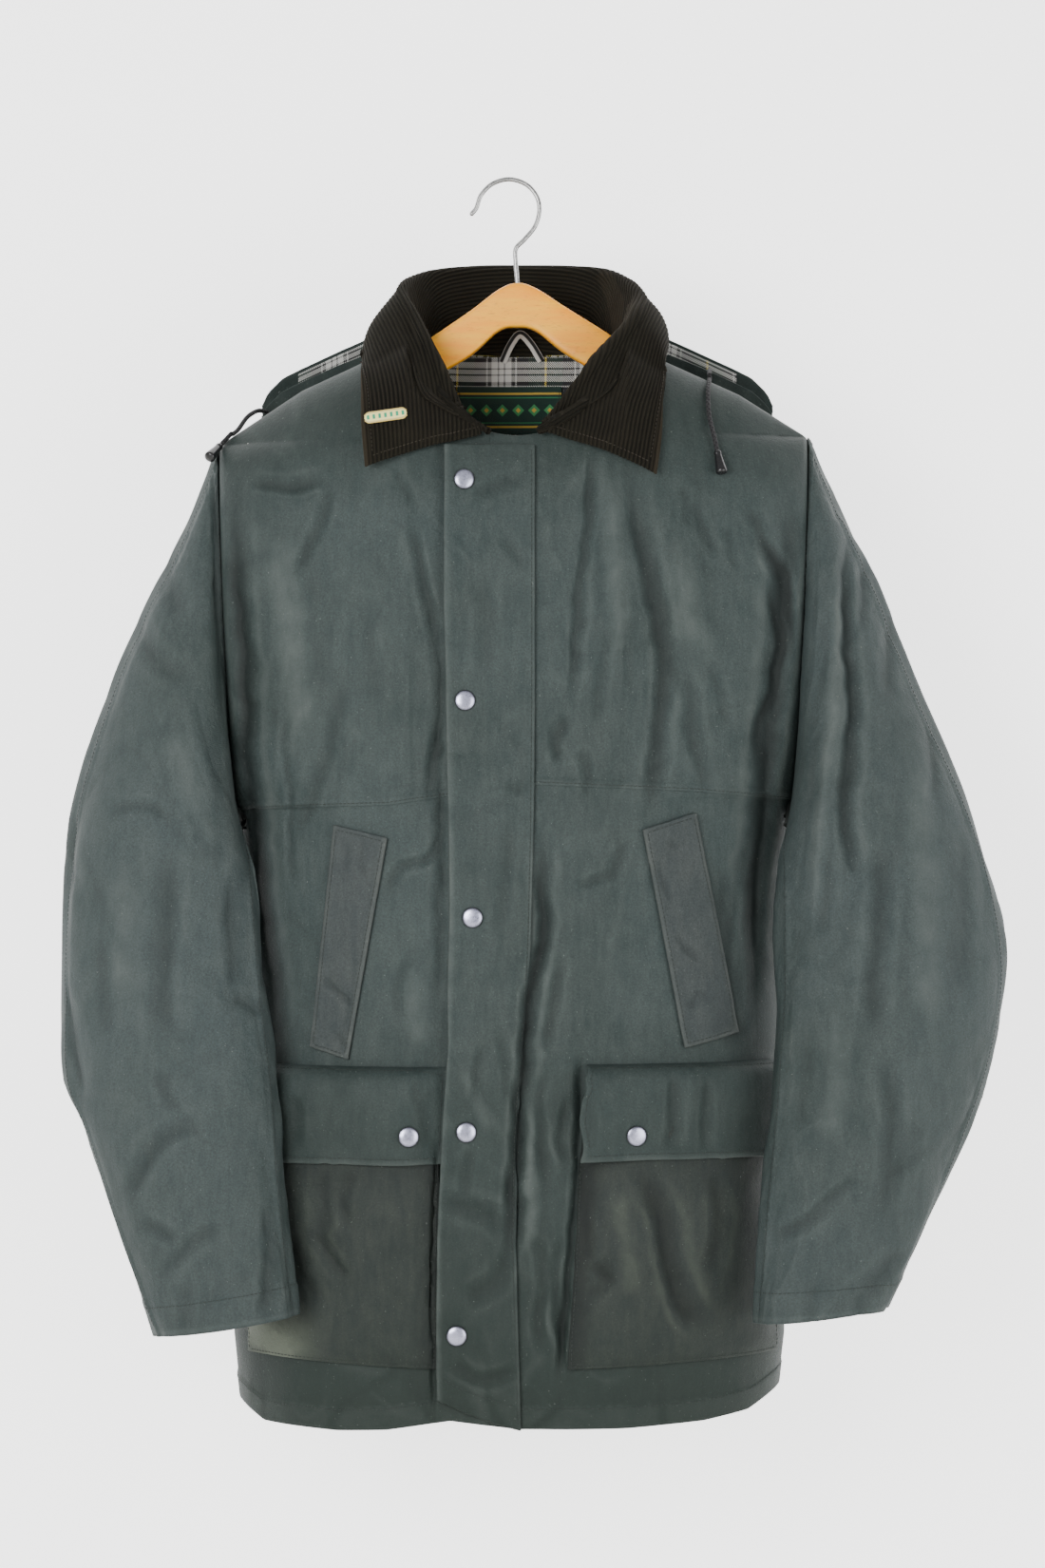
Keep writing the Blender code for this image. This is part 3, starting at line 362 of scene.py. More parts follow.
def skin(name, rings, material):
    """A closed surface over rings of points, each end drawn in to the middle of its ring. The rings
    turn the right-handed way round the direction in which they follow each other."""
    count, sides = rings.shape[:2]
    index = np.arange(count * sides).reshape(count, sides)
    index = np.concatenate([index, index[:, :1]], axis=1)
    points = np.vstack([rings.reshape(-1, 3), rings[0].mean(0), rings[-1].mean(0)])
    length = run_length(points[index[:, 0]])
    flat = np.stack(np.broadcast_arrays(np.linspace(0, 1, sides), length[:, None] * MM), axis=-1)
    flat = np.vstack([flat.reshape(-1, 2), flat[0, 0], flat[-1, 0]])
    head = np.stack([0 * index[0, 1:] + count * sides, index[0, 1:], index[0, :-1]], axis=-1)
    tail = np.stack([0 * index[0, 1:] + count * sides + 1, index[-1, :-1], index[-1, 1:]], axis=-1)
    faces = [quads(index)[:, ::-1], np.vstack([head, tail])]
    return make_mesh(name, points, faces, [material], flat=flat)


def rings_round(centre, run, size, sides):
    """Circles of the given sizes round a line of centres, each one square to the line."""
    first = unit(np.cross(run, np.array([0.3, 1.0, 0.2])))
    second = np.cross(run, first)
    angle = np.linspace(0, TURN, sides, endpoint=False)[None, :, None]
    across = first[:, None] * np.cos(angle) + second[:, None] * np.sin(angle)
    return centre[:, None] + size[:, None, None] * across


def tube(name, path, radius, material, sides=12):
    """A round bar along a path, with domed ends."""
    path = np.asarray(path, float)
    run = unit(np.gradient(path, axis=0))
    dome = np.radians([5, 25, 45, 65])
    head = path[0] - run[0] * radius * np.cos(dome)[:, None]
    tail = path[-1] + run[-1] * radius * np.cos(dome)[::-1, None]
    shrunk = radius * np.sin(dome)
    size = np.concatenate([shrunk, np.full(len(path), radius), shrunk[::-1]])
    run = np.pad(run, ((len(dome), len(dome)), (0, 0)), mode="edge")
    return skin(name, rings_round(np.vstack([head, path, tail]), run, size, sides), material)


def turned(name, profile, foot, axis, material, sides=40):
    """A turned piece: radii at heights along an axis, from the foot up."""
    profile = np.asarray(profile, float)
    axis = np.broadcast_to(unit(np.asarray(axis, float)), (len(profile), 3))
    centre = np.asarray(foot, float) + profile[:, 1:] * axis
    return skin(name, rings_round(centre, axis, profile[:, 0], sides), material)


def settle(piece, *nodes):
    """A finished piece moves with the object and stands for its plain solids."""
    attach(piece, "root")
    if nodes:
        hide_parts(*nodes)
    return piece


cut_list, grids = [], {}


def sewn(name, node, points, wall, outside, **more):
    """A sheet of cloth in place of its solid, with the flat size that it was cut to."""
    piece = settle(cloth(name, points, wall, outside, **more), node)
    width, length, area = cut_size(points)
    cut_list.append((name, width, length, area))
    grids[name] = points
    return piece

# %% [markdown]
# ## Shader tools
#
# Every finish below is a small network of nodes, so it has detail at any distance and follows the
# cloth. Effects that are used more than once are node groups, built once: uneven patches, lint, thread
# weave and the stripes of the lining. A group hands out masks and heights, and each material mixes its
# own colours with them. A socket knows which tree it is in, so a helper takes its tree from the values
# that it is given.

# %% Shader helpers
SOCKET = bpy.types.NodeSocket


def feed(node, inputs):
    """Give a node its inputs. Each is a socket to link or a value to set."""
    for key, value in inputs.items():
        if isinstance(value, SOCKET):
            node.id_data.links.new(value, node.inputs[key])
        else:
            node.inputs[key].default_value = value


def add(tree, kind, inputs=None, **settings):
    """Place a shader node."""
    made = tree.nodes.new("ShaderNode" + kind)
    for key, value in settings.items():
        setattr(made, key, value)
    feed(made, inputs or {})
    return made


def math_of(operation, *values):
    """One step of arithmetic on values, of which at least one is a socket."""
    tree = next(value for value in values if isinstance(value, SOCKET)).id_data
    return add(tree, "Math", dict(enumerate(values)), operation=operation).outputs[0]


def plus(first, second):
    return math_of("ADD", first, second)


def times(first, second):
    return math_of("MULTIPLY", first, second)


def apart(first, second):
    """How far one value is from another."""
    return math_of("ABSOLUTE", math_of("SUBTRACT", first, second))


def spread(value, low, high, to_low=0.0, to_high=1.0):
    """Stretch a value from one range to another, and stop at the ends."""
    inputs = {"Value": value, "From Min": low, "From Max": high, "To Min": to_low, "To Max": to_high}
    return add(value.id_data, "MapRange", inputs).outputs[0]


def within(value, inner, outer):
    """1 below the inner limit and 0 above the outer one."""
    return spread(value, inner, outer, 1.0, 0.0)


def blend(part, first, second):
    """One colour turning into another as the part goes from 0 to 1."""
    return add(part.id_data, "Mix", {0: part, 6: first, 7: second}, data_type="RGBA").outputs[2]


def shade(colour, share):
    return [share * c for c in colour]


def noise(place, scale, detail=3.0, roughness=0.5):
    inputs = {"Vector": place, "Scale": scale, "Detail": detail, "Roughness": roughness}
    return add(place.id_data, "TexNoise", inputs).outputs[0]


def stretched(place, scale, turn=0.0):
    """A place scaled along its axes, then turned about y."""
    inputs = {"Vector": place, "Scale": scale, "Rotation": (0.0, turn, 0.0)}
    return add(place.id_data, "Mapping", inputs).outputs[0]


def axes_of(vector):
    return list(add(vector.id_data, "SeparateXYZ", {0: vector}).outputs)


def new_group(name, inputs, outputs):
    """An empty node group, with the sockets of its inputs and its output node. An input without a
    value is a vector; the others are numbers, as all outputs are."""
    group = bpy.data.node_groups.new(name, "ShaderNodeTree")
    for label, value in inputs.items():
        kind = "NodeSocketVector" if value is None else "NodeSocketFloat"
        socket = group.interface.new_socket(label, in_out="INPUT", socket_type=kind)
        if value is not None:
            socket.default_value = value
    for label in outputs:
        group.interface.new_socket(label, in_out="OUTPUT", socket_type="NodeSocketFloat")
    return group, group.nodes.new("NodeGroupInput").outputs, group.nodes.new("NodeGroupOutput")


def use(group, *values):
    """Place a group in the tree of its first value, which is a socket, and return its outputs."""
    made = values[0].id_data.nodes.new("ShaderNodeGroup")
    made.node_tree = group
    feed(made, dict(enumerate(values)))
    return made.outputs


def principled(material):
    return material.node_tree.nodes["Principled BSDF"]


def new_material(name, roughness, metallic=0.0):
    material = bpy.data.materials.new(name)
    material.use_nodes = True
    feed(principled(material), {"Roughness": roughness, "Metallic": metallic})
    return material


def place_in(material):
    """Where a point is, in metres."""
    return add(material.node_tree, "TexCoord").outputs["Object"]


def flat_in(material):
    """Where a point is on the flat map of its piece."""
    return add(material.node_tree, "TexCoord").outputs["UV"]


def wear_and_shade_of(material):
    """How worn a point is, and how much painted shade it has, from the attribute of its piece."""
    return add(material.node_tree, "Attribute", attribute_name="wear").outputs["Fac"]


def dress(material, colour, bump, more=None):
    """Give a material its colour, its bump (height, distance in metres, strength) and more inputs."""
    inputs = dict(zip(("Height", "Distance", "Strength"), bump))
    normal = add(material.node_tree, "Bump", inputs).outputs[0]
    feed(principled(material), {"Base Color": colour, "Normal": normal, **(more or {})})


# %% [markdown]
# ### Shared effects
#
# Patches are broad noise, stretched until it has soft edges. Lint is very fine noise of which only
# the highest peaks are kept. A weave is two sets of waves at right angles, one for each thread
# direction. The check repeats every 67 mm: a group of white bars, a hairline on each side of it and a
# yellow line half way to the next group. The same stripes run both ways in a tartan.

# %% Shared effects
PATCHES, given, result = new_group(
    "Uneven patches", {"Place": None, "Patches per metre": 8.0}, ["Mask"])
cloud = noise(given["Place"], given["Patches per metre"], 5.0, 0.6)
feed(result, {"Mask": spread(cloud, 0.34, 0.66)})

LINT, given, result = new_group(
    "Lint", {"Place": None, "Specks per metre": 900.0, "Share": 0.3}, ["Mask"])
peaks = noise(given["Place"], given["Specks per metre"], 2.0, 0.6)
limit = math_of("SUBTRACT", 0.8, times(given["Share"], 0.3))
feed(result, {"Mask": spread(times(math_of("SUBTRACT", peaks, limit), 14.0), 0.0, 1.0)})

WEAVE, given, result = new_group("Weave", {"Flat": None, "Threads per metre": 1200.0}, ["Height"])
ways = [math_of("SINE", times(times(axis, given["Threads per metre"]), TURN))
        for axis in axes_of(given["Flat"])[:2]]
feed(result, {"Height": times(*ways)})

CHECK_REPEAT = 0.067
SOFT_EDGE = 0.0002
CHECK, given, result = new_group("Check stripes", {"Across": 0.0}, ["White", "Yellow", "Green"])
repeats = plus(math_of("DIVIDE", given["Across"], CHECK_REPEAT), 100.0)
from_white = apart(math_of("FRACT", repeats), 0.5)


def stripe(middle, half):
    """1 within a stripe, by its distance from the middle of the white group, in metres."""
    middle, half, soft = (length / CHECK_REPEAT for length in (middle, half, SOFT_EDGE))
    return within(apart(from_white, middle), half - soft, half + soft)


bars = math_of("MAXIMUM", stripe(0.0, 0.0017), stripe(0.0052, 0.0023))
feed(result, {"White": math_of("MAXIMUM", bars, stripe(0.011, 0.0005)),
              "Yellow": stripe(0.0335, 0.0007), "Green": stripe(0.026, 0.0055)})
print("shared effects:", [group.name for group in bpy.data.node_groups])

# %% [markdown]
# ### Waxed cotton
#
# Waxed cotton starts as a dark green cloth soaked in wax. Where it is handled or creased, the wax
# works out and the cloth turns greyer, then olive. So the colour is mixed in layers: broad patches of
# two greens, small mottling and streaks down the cloth, a dark grain, painted shade towards the hem
# (partly dirt there) and on the shoulders, the worn crests, painted shade in the troughs, and lint.
# The sleeves and welts get less of the painted shade at the hem and shoulders; the bellows bags are a
# copy painted darker as shade. It has a dull shine that is uneven in the same patches. A fine bump
# gives it thread and a pebbled surface.

# %% Waxed cotton
# The darker colour of painted shade at the hem and on the shoulders (partly dirt at the hem), and the
# colour of lint
SHADE_AND_DIRT, PALE_LINT = (0.010, 0.0165, 0.0125, 1), (0.28, 0.31, 0.28, 1)


def waxed_cotton(name, deep, mid, worn_out, shade_and_dirt):
    """The last argument is the share of a darker colour at the hem, painted shade that is partly dirt.
    It starts above the pocket flaps. A smaller share on the shoulders is painted shade.
    """
    material = new_material(name, 0.6)
    place, wear_and_shade_here = place_in(material), wear_and_shade_of(material)
    broad, small, grain = (use(PATCHES, place, per_metre)[0] for per_metre in (6.0, 42.0, 760.0))
    streaks = use(PATCHES, stretched(place, (1.0, 1.0, 0.22)), 190.0)[0]
    colour = blend(broad, deep, mid)
    colour = blend(times(small, 0.16), colour, worn_out)
    colour = blend(times(streaks, 0.2), colour, worn_out)
    colour = blend(spread(grain, 0.0, 1.0, 0.5, 0.0), colour, shade(deep, 0.4))
    height = axes_of(place)[2]
    # Painted shade: darker towards the hem, partly dirt there, and darker on the shoulders
    low = plus(*(spread(height, above, below, 0.0, 0.5 * shade_and_dirt)
                 for above, below in ((-0.62, -0.7), (-0.76, -0.9))))
    high = spread(height, -0.25, -0.17, 0.0, 0.7 * shade_and_dirt)
    colour = blend(plus(low, high), colour, SHADE_AND_DIRT)
    crest = times(wear_and_shade_here, spread(small, 0.0, 1.0, 0.35, 0.8))
    colour = blend(spread(crest, 0.0, 1.0), colour, worn_out)
    # Painted shade: where the attribute is negative, in the fold troughs and crease valleys, the cloth
    # is darkened
    colour = blend(spread(wear_and_shade_here, 0.0, -1.4, 0.0, 0.8), colour, shade(deep, 0.12))
    specks = use(LINT, place, 560.0, 0.34)[0]
    colour = blend(times(specks, 0.3), colour, PALE_LINT)
    shine = plus(plus(times(broad, 0.06), times(grain, 0.14)), 0.5)
    threads = use(WEAVE, flat_in(material), 820.0)[0]
    pebbles = noise(place, 420.0, 5.0, 0.7)
    dress(material, colour, (math_of("MULTIPLY_ADD", threads, 0.05, pebbles), 0.0008, 0.8),
          {"Roughness": shine, "Specular IOR Level": 0.2})
    return material


# The last row is the bags' copy of the cloth, darker all over as painted shade
WAXED, SLEEVES, FADED, BAGS_IN_PAINTED_SHADE = (waxed_cotton(*row) for row in (
    ("waxed cotton", (0.026, 0.039, 0.037, 1), (0.039, 0.056, 0.056, 1), (0.100, 0.118, 0.110, 1), 0.8),
    ("waxed cotton of the sleeves", (0.030, 0.044, 0.042, 1), (0.044, 0.060, 0.061, 1),
     (0.105, 0.122, 0.115, 1), 0.15),
    ("faded waxed cotton", (0.030, 0.040, 0.041, 1), (0.043, 0.053, 0.055, 1),
     (0.100, 0.110, 0.100, 1), 0.2),
    ("waxed cotton darkened as painted shade", (0.018, 0.024, 0.0245, 1), (0.030, 0.037, 0.0375, 1),
     (0.094, 0.109, 0.084, 1), 0.55)))
print("waxed cottons:", [material.name for material in (WAXED, SLEEVES, FADED, BAGS_IN_PAINTED_SHADE)])

# %% [markdown]
# ### Corduroy
#
# Corduroy is velvet in ribs. The ribs are 3.2 mm apart and run along the collar, so they are level
# at the back of the neck and upright on the hanging points. The collar's flat map is measured from
# its outer edge for that reason. A rounded wave makes each rib in the bump, the colour is darkest in
# the groove as painted shade, and noise along the rib breaks it up as brushed pile does.

# %% Corduroy
CORDUROY = new_material("brown corduroy", 0.92)
place = place_in(CORDUROY)
from_edge = plus(axes_of(flat_in(CORDUROY))[1], times(noise(place, 60.0, 2.0), 0.0012))
rib = math_of("ABSOLUTE", math_of("SINE", times(math_of("DIVIDE", from_edge, 0.0032), math.pi)))
pile = noise(place, 850.0, 4.0, 0.7)
crown = times(math_of("POWER", rib, 1.6), spread(pile, 0.3, 0.7, 0.45, 1.0))
# Painted shade: the colour is darkest in the groove between the ribs
colour = blend(crown, (0.002, 0.0018, 0.0012, 1), (0.017, 0.0142, 0.0092, 1))
colour = blend(times(use(PATCHES, place, 16.0)[0], 0.35), colour, (0.013, 0.0125, 0.0075, 1))
colour = blend(spread(wear_and_shade_of(CORDUROY), 0.0, 1.0, 0.0, 0.7), colour, (0.045, 0.035, 0.022, 1))
dress(CORDUROY, colour, (math_of("MULTIPLY_ADD", pile, 0.25, math_of("POWER", rib, 0.6)), 0.0009, 1.0),
      {"Specular IOR Level": 0.15, "Sheen Weight": 0.06, "Sheen Roughness": 0.4,
       "Sheen Tint": (0.5, 0.42, 0.3, 1)})
print("corduroy:", len(CORDUROY.node_tree.nodes), "nodes")

# %% [markdown]
# ### Tartan lining, woven label and striped tape
#
# A tartan is the same stripes in both directions. Where two colours cross, half of the threads are
# of each, in fine diagonal steps. The sleeves have a plain dark lining, so that arms slide in. The
# label is plain: a dark green satin with a border and a row of small diamonds. The hanging loop is a
# black and white striped tape.

# %% Lining, label and tape
TARTAN = new_material("tartan lining", 0.9)
place, axes = place_in(TARTAN), axes_of(flat_in(TARTAN))
threads = []
for axis in axes[:2]:
    stripes = use(CHECK, axis)
    colour = blend(stripes["Green"], (0.006, 0.0065, 0.008, 1), (0.008, 0.03, 0.018, 1))
    colour = blend(stripes["White"], colour, (0.56, 0.56, 0.53, 1))
    threads.append(blend(stripes["Yellow"], colour, (0.62, 0.5, 0.06, 1)))
diagonal = math_of("FRACT", times(plus(axes[0], axes[1]), 620.0))
over = spread(math_of("PINGPONG", diagonal, 0.5), 0.2, 0.3)
fluff = use(LINT, place, 800.0, 0.5)[0]
colour = blend(times(fluff, 0.25), blend(over, *threads), (0.3, 0.3, 0.28, 1))
dress(TARTAN, colour, (plus(over, noise(place, 900.0)), 0.0004, 0.8), {"Sheen Weight": 0.2})

LINING = new_material("dark sleeve lining", 0.5)
cloud = noise(place_in(LINING), 60.0)
dress(LINING, blend(cloud, (0.007, 0.009, 0.008, 1), (0.013, 0.016, 0.014, 1)),
      (use(WEAVE, flat_in(LINING), 1500.0)[0], 0.0003, 0.6))

# The label is 35 mm high. Its diamonds are on its middle line, one every 12 mm
LABEL = new_material("woven label", 0.55)
LABEL_MIDDLE, DIAMOND = 0.0175, 0.012
flat = flat_in(LABEL)
axes = axes_of(flat)
beside = apart(math_of("FRACT", times(axes[0], 1 / DIAMOND)), 0.5)
off = math_of("ABSOLUTE", plus(axes[1], LABEL_MIDDLE))
from_heart = plus(beside, times(off, 1 / DIAMOND))
colour = (0.006, 0.03, 0.022, 1)
for mask, thread in ((within(apart(off, 0.0125), 0.0007, 0.0009), (0.5, 0.33, 0.05, 1)),
                     (within(apart(off, 0.0095), 0.0003, 0.0005), (0.03, 0.2, 0.08, 1)),
                     (within(from_heart, 0.36, 0.4), (0.05, 0.26, 0.09, 1)),
                     (within(from_heart, 0.14, 0.18), (0.55, 0.36, 0.06, 1))):
    colour = blend(mask, colour, thread)
dress(LABEL, colour, (use(WEAVE, flat, 1400.0)[0], 0.0003, 0.6))

TAPE = new_material("striped tape", 0.85)
STRIPE_PAIR = 0.0052
flat = flat_in(TAPE)
ribs = math_of("SINE", times(axes_of(flat)[1], TURN / STRIPE_PAIR))
dress(TAPE, blend(spread(ribs, -0.2, 0.2), (0.012, 0.012, 0.013, 1), (0.6, 0.59, 0.56, 1)),
      (use(WEAVE, flat, 1200.0)[0], 0.0003, 0.7))
print("lining, label and tape:", TARTAN.name, "/", LINING.name, "/", LABEL.name, "/", TAPE.name)

# %% [markdown]
# ### Thread, cord, metal, enamel and wood
#
# The snaps are pewter-plated brass: a dull metal with fine scratches. A dark ring round the rim is
# painted shadow, placed by the distance up the cap's profile, which its map holds. The cord is a matt
# black braid, so its bump is two crossing spirals on the tube's own map, and its colour is darker
# between the strands as painted shade. Its ends are glossy plastic.
# The pin is cream enamel with green bars. The hanger is beech under satin varnish. Beech has pale
# long grain with short dark flecks, so the grain is noise stretched along the arm.

# %% Trim and hanger finishes
def sewing_thread(name, colour):
    material = new_material(name, 0.75)
    place = place_in(material)
    dress(material, blend(noise(place, 240.0, 2.0), colour, shade(colour, 0.5)),
          (noise(place, 2600.0, 2.0), 0.0002, 0.6))
    return material


THREAD = sewing_thread("green thread", (0.022, 0.030, 0.026, 1))
BROWN_THREAD = sewing_thread("brown thread", (0.035, 0.026, 0.015, 1))

PEWTER = new_material("pewter snap", 0.34, 0.9)
place = place_in(PEWTER)
cloud = noise(place, 420.0, 5.0, 0.65)
scratched = plus(cloud, noise(stretched(place, (9.0, 1.0, 1.0), 0.5), 900.0, 2.0))
colour = blend(spread(cloud, 0.35, 0.65), (0.46, 0.47, 0.61, 1), (0.54, 0.55, 0.70, 1))
# Painted shadow: a dark ring round the foot of the cap
up_the_rim = spread(axes_of(flat_in(PEWTER))[1], 0.0080, 0.0100)
dress(PEWTER, blend(up_the_rim, (0.04, 0.042, 0.045, 1), colour), (scratched, 0.0001, 0.04),
      {"Roughness": spread(scratched, 0.7, 1.3, 0.24, 0.34)})

BRAID = new_material("braided cord", 0.8)
BRAID_REPEAT = 0.0042
axes = axes_of(flat_in(BRAID))
along = times(axes[1], TURN / BRAID_REPEAT)
spirals = [math_of("SINE", math_of("MULTIPLY_ADD", axes[0], way * 3 * TURN, along)) for way in (-1, 1)]
plait = math_of("MAXIMUM", *spirals)
# Painted shade: the colour is darker between the strands of the braid
dress(BRAID, blend(spread(plait, -0.2, 1.0), (0.003, 0.003, 0.004, 1), (0.018, 0.017, 0.019, 1)),
      (plait, 0.0006, 0.9))

PLASTIC = new_material("black plastic", 0.16)
haze = noise(place_in(PLASTIC), 380.0)
dress(PLASTIC, blend(haze, (0.006, 0.006, 0.007, 1), (0.016, 0.016, 0.017, 1)), (haze, 0.0002, 0.15),
      {"Roughness": spread(haze, 0.3, 0.7, 0.1, 0.24)})

ENAMEL = new_material("cream enamel", 0.22)
axes = axes_of(flat_in(ENAMEL))
bars, from_middle = apart(math_of("FRACT", times(axes[0], 7.0)), 0.5), apart(axes[1], 0.5)
green = times(within(bars, 0.2, 0.24), within(from_middle, 0.2, 0.24))
colour = blend(green, (0.8, 0.74, 0.3, 1), (0.03, 0.3, 0.17, 1))
colour = blend(spread(from_middle, 0.38, 0.4), colour, (0.55, 0.42, 0.14, 1))
dress(ENAMEL, colour, (plus(green, noise(place_in(ENAMEL), 500.0)), 0.0002, 0.4))

WOOD = new_material("varnished beech", 0.36)
place = place_in(WOOD)
rings = noise(stretched(place, (1.0, 6.0, 9.0)), 16.0, 5.0, 0.6)
flecks = spread(noise(stretched(place, (1.0, 3.0, 5.5)), 190.0, 2.0, 0.6), 0.6, 0.72)
knocks = use(PATCHES, place, 22.0)[0]
colour = blend(spread(rings, 0.35, 0.65), (1.0, 0.34, 0.0, 1), (1.0, 0.46, 0.004, 1))
colour = blend(times(flecks, 0.45), colour, (0.5, 0.18, 0.04, 1))
colour = blend(times(knocks, 0.12), colour, (0.45, 0.2, 0.07, 1))
dress(WOOD, colour, (plus(rings, flecks), 0.0004, 0.25),
      {"Roughness": spread(rings, 0.3, 0.7, 0.3, 0.44), "Coat Weight": 0.06, "Coat Roughness": 0.2})

WIRE = new_material("steel wire", 0.3, 0.95)
drawn = noise(place_in(WIRE), 520.0, 4.0, 0.6)
dress(WIRE, blend(spread(drawn, 0.35, 0.65), (0.3, 0.3, 0.3, 1), (0.5, 0.5, 0.49, 1)),
      (drawn, 0.0001, 0.3), {"Roughness": spread(drawn, 0.3, 0.7, 0.22, 0.42)})
print("finishes:", len(bpy.data.materials))

# %% [markdown]
# ## The shape of the body
#
# The frame's front and back are height fields: at a place x across and z up, the outer face is y in
# front of or behind the hanger. The looks start from the same curves. Everything here is in
# millimetres, with zero under the crown of the hook.
#
# A hanging front is an arch across, from side seam to side seam, and a quarter circle down from the
# shoulder. The armhole opens like a lens between the shoulder and the underarm.

# %% Body curves
MID_X, CENTRE_X = 6.0, -14.0                    # middle of the neck, and of the front opening
NECK_HALF, FRONT_NECK, BACK_NECK = 81, 76, 6    # half width of the neckline, and its two drops
HEM_SHARE = 0.935                               # width of the hem as a share of the shoulders'
SHOULDER = [(-216, -198), (-154, -157), (-115, -139), (-75, -119.5), (87, -119.5), (113, -134),
            (171, -160), (222, -192)]
BODY_SIDE = [(-192, -216, 222), (-466, -205, 213), (-520, -203, 208), (-700, -204, 206),
             (-860, -206, 206), (-930, -199, 198)]
BODY_DEPTH = [(-121, -62, 43, 0), (-195, -68, 46, 2), (-300, -79, 50, 5), (-466, -88, 52, 8),
              (-700, -94, 53, 10), (-860, -93, 55, 10), (-930, -89, 53, 10)]
CHEST_SEAM = [(-216, -468), (-93, -465), (-49, -459), (17, -450), (141, -455), (222, -461)]
FRONT_HEM = [(-206, -903), (-182, -918), (-126, -920), (-89, -918), (-42, -911), (8, -917),
             (89, -917), (148, -914), (182, -909), (206, -896)]
BACK_HEM = [(-206, -903), (-180, -919), (-100, -924), (100, -923), (182, -913), (206, -896)]


def side_x(z, side):
    return column(BODY_SIDE, z, 1 if side < 0 else 2)


def across_body(x, z):
    """0 at the middle of the body, 1 at its side seam or armhole."""
    left, right = side_x(z, -1), side_x(z, 1)
    return np.clip(np.abs(x - (left + right) / 2) * 2 / (right - left), 0, 1)


def neck_part(x):
    """1 at the middle of the neck, 0 from the points where it meets the shoulders."""
    return np.sqrt(np.clip(1 - ((x - MID_X) / NECK_HALF) ** 2, 0, 1))


def top_z(x, front):
    """The top edge of the front or the back: the neckline, then the shoulder seam."""
    drop = FRONT_NECK * neck_part(x) ** 1.3 if front else BACK_NECK * neck_part(x)
    return column(SHOULDER, x, 1) - drop


def down_armhole(z, x):
    """0 at the shoulder point and 1 at the underarm."""
    top = np.where(x < MID_X, SHOULDER[0][1], SHOULDER[-1][1])
    under = np.where(x < MID_X, CHEST_SEAM[0][1], CHEST_SEAM[-1][1])
    return (top - z) / (top - under)


def plain_y(x, z, front):
    """The body without folds: from the seam or armhole edge to its full depth, by an arch across
    times a quarter circle down from the shoulder."""
    down = down_armhole(z, x)
    lens = np.sqrt(np.clip(1 - (2 * down - 1) ** 2, 0, 1))
    edge = 8 * np.clip(down, 0, 1) + (-44 if front else 38) * lens
    full = column(BODY_DEPTH, z, 1 if front else 2)
    fullness = np.sqrt(1 - across_body(x, z) ** (2.6 if front else 3.4))
    start = np.maximum((66 if front else 43) * neck_part(x), 8) / np.abs(full)
    start = np.clip(start / np.maximum(fullness, 0.2), 0, 1)
    rise = start + (1 - start) * quarter_round((top_z(x, front) - z) / 70)
    return edge + (full - edge) * fullness * rise


# %% [markdown]
# ## Drawcords
#
# The hood is drawn in by a braided cord whose two ends hang free, each in a glossy plastic end. On
# the wearer's left the cord comes over the shoulder and hangs on the chest. On the right only a short
# end shows over the shoulder point. Each cord is a tube along its own smooth route.

# %% Drawcords
DRAWCORDS = {
    "right": [(-184, 46, -168), (-190, 34, -168), (-197, 20, -174), (-203, 7, -184.5),
              (-207, -3, -189.3), (-211, -11, -193.6), (-215, -18, -199)],
    "left": [(152, 48, -140), (151, 30, -138), (150, 10, -141), (149, -12, -149),
             (147, -32, -160), (147, -48, -178), (150, -58, -194), (152.5, -63, -207)]}
CORD_END = [(0.4, -1.0), (2.4, -0.8), (2.8, 0), (2.85, 1.5), (2.6, 2.2), (2.75, 3.2), (3.1, 6),
            (3.5, 9), (4.0, 12.5), (4.3, 15), (4.2, 16), (3.6, 16.8), (2.0, 17.1), (0.4, 17.15)]
CORD_RADIUS = 1.7


def clear_of_front(points, clearance):
    """Keep what hangs over the chest in front of it."""
    x, y, z = points[..., 0], points[..., 1], points[..., 2]
    limit = plain_y(x, z, True) - clearance
    on_chest = (z < top_z(x, True) + 8) & (y < -2)
    points[..., 1] = np.where(on_chest, np.minimum(y, limit), y)
    return points


for word, route in DRAWCORDS.items():
    points = clear_of_front(evenly(route, 49), 3.0)
    piece = settle(tube(f"{word}_drawcord", points, CORD_RADIUS, BRAID, 14), f"drawcord_{word}")
    run = unit(points[-1] - points[-4])
    tip = turned(f"{word}_cord_end", CORD_END, points[-1] + 0.3 * run, run, PLASTIC, 28)
    settle(tip, f"cord_end_{word}")
    length = np.linalg.norm(np.diff(points, axis=0), axis=1).sum() * MM
    print(f"{word} drawcord: {1000 * length:.0f} mm")

# %% [markdown]
# ## Folds of the body
#
# The folds are what make this jacket this jacket. Each row below is one fold: its depth in mm, its
# half width to the viewer's left and right, then the line it follows, down the cloth. A negative
# depth is a raised ridge. Folds that the camera sees are placed as pixels across and down its
# frame, and `from_frame` works out where they are in mm: a pixel covers less cloth the nearer the
# cloth is to the camera. The others are placed in mm straight away. Unequal half widths give the fold
# a steep and a gentle side, as real folds have. On the fronts most of them fall from the collar and
# from the armholes, fan out over the pockets, and hang beside the fly. The back has its own, freer
# ones.

# %% Fold tables of the body
FRAME_CENTRE = (550.0, 825.0)     # pixels across and down, half of 1100 by 1650
FRAME_LOOKS_AT = (9.9, -450.0)    # x and z of the point at the frame's centre, in mm
PIXEL_AT_HANGER = 0.71            # mm, on the plane of the hanger, which is y = 0
CAMERA_AWAY = 3000.0              # mm from that plane
FRONT_PLANE, FLY_PLANE, SLEEVE_PLANE, POCKET_PLANE = -85.0, -98.0, -75.0, -95.0     # y, in mm


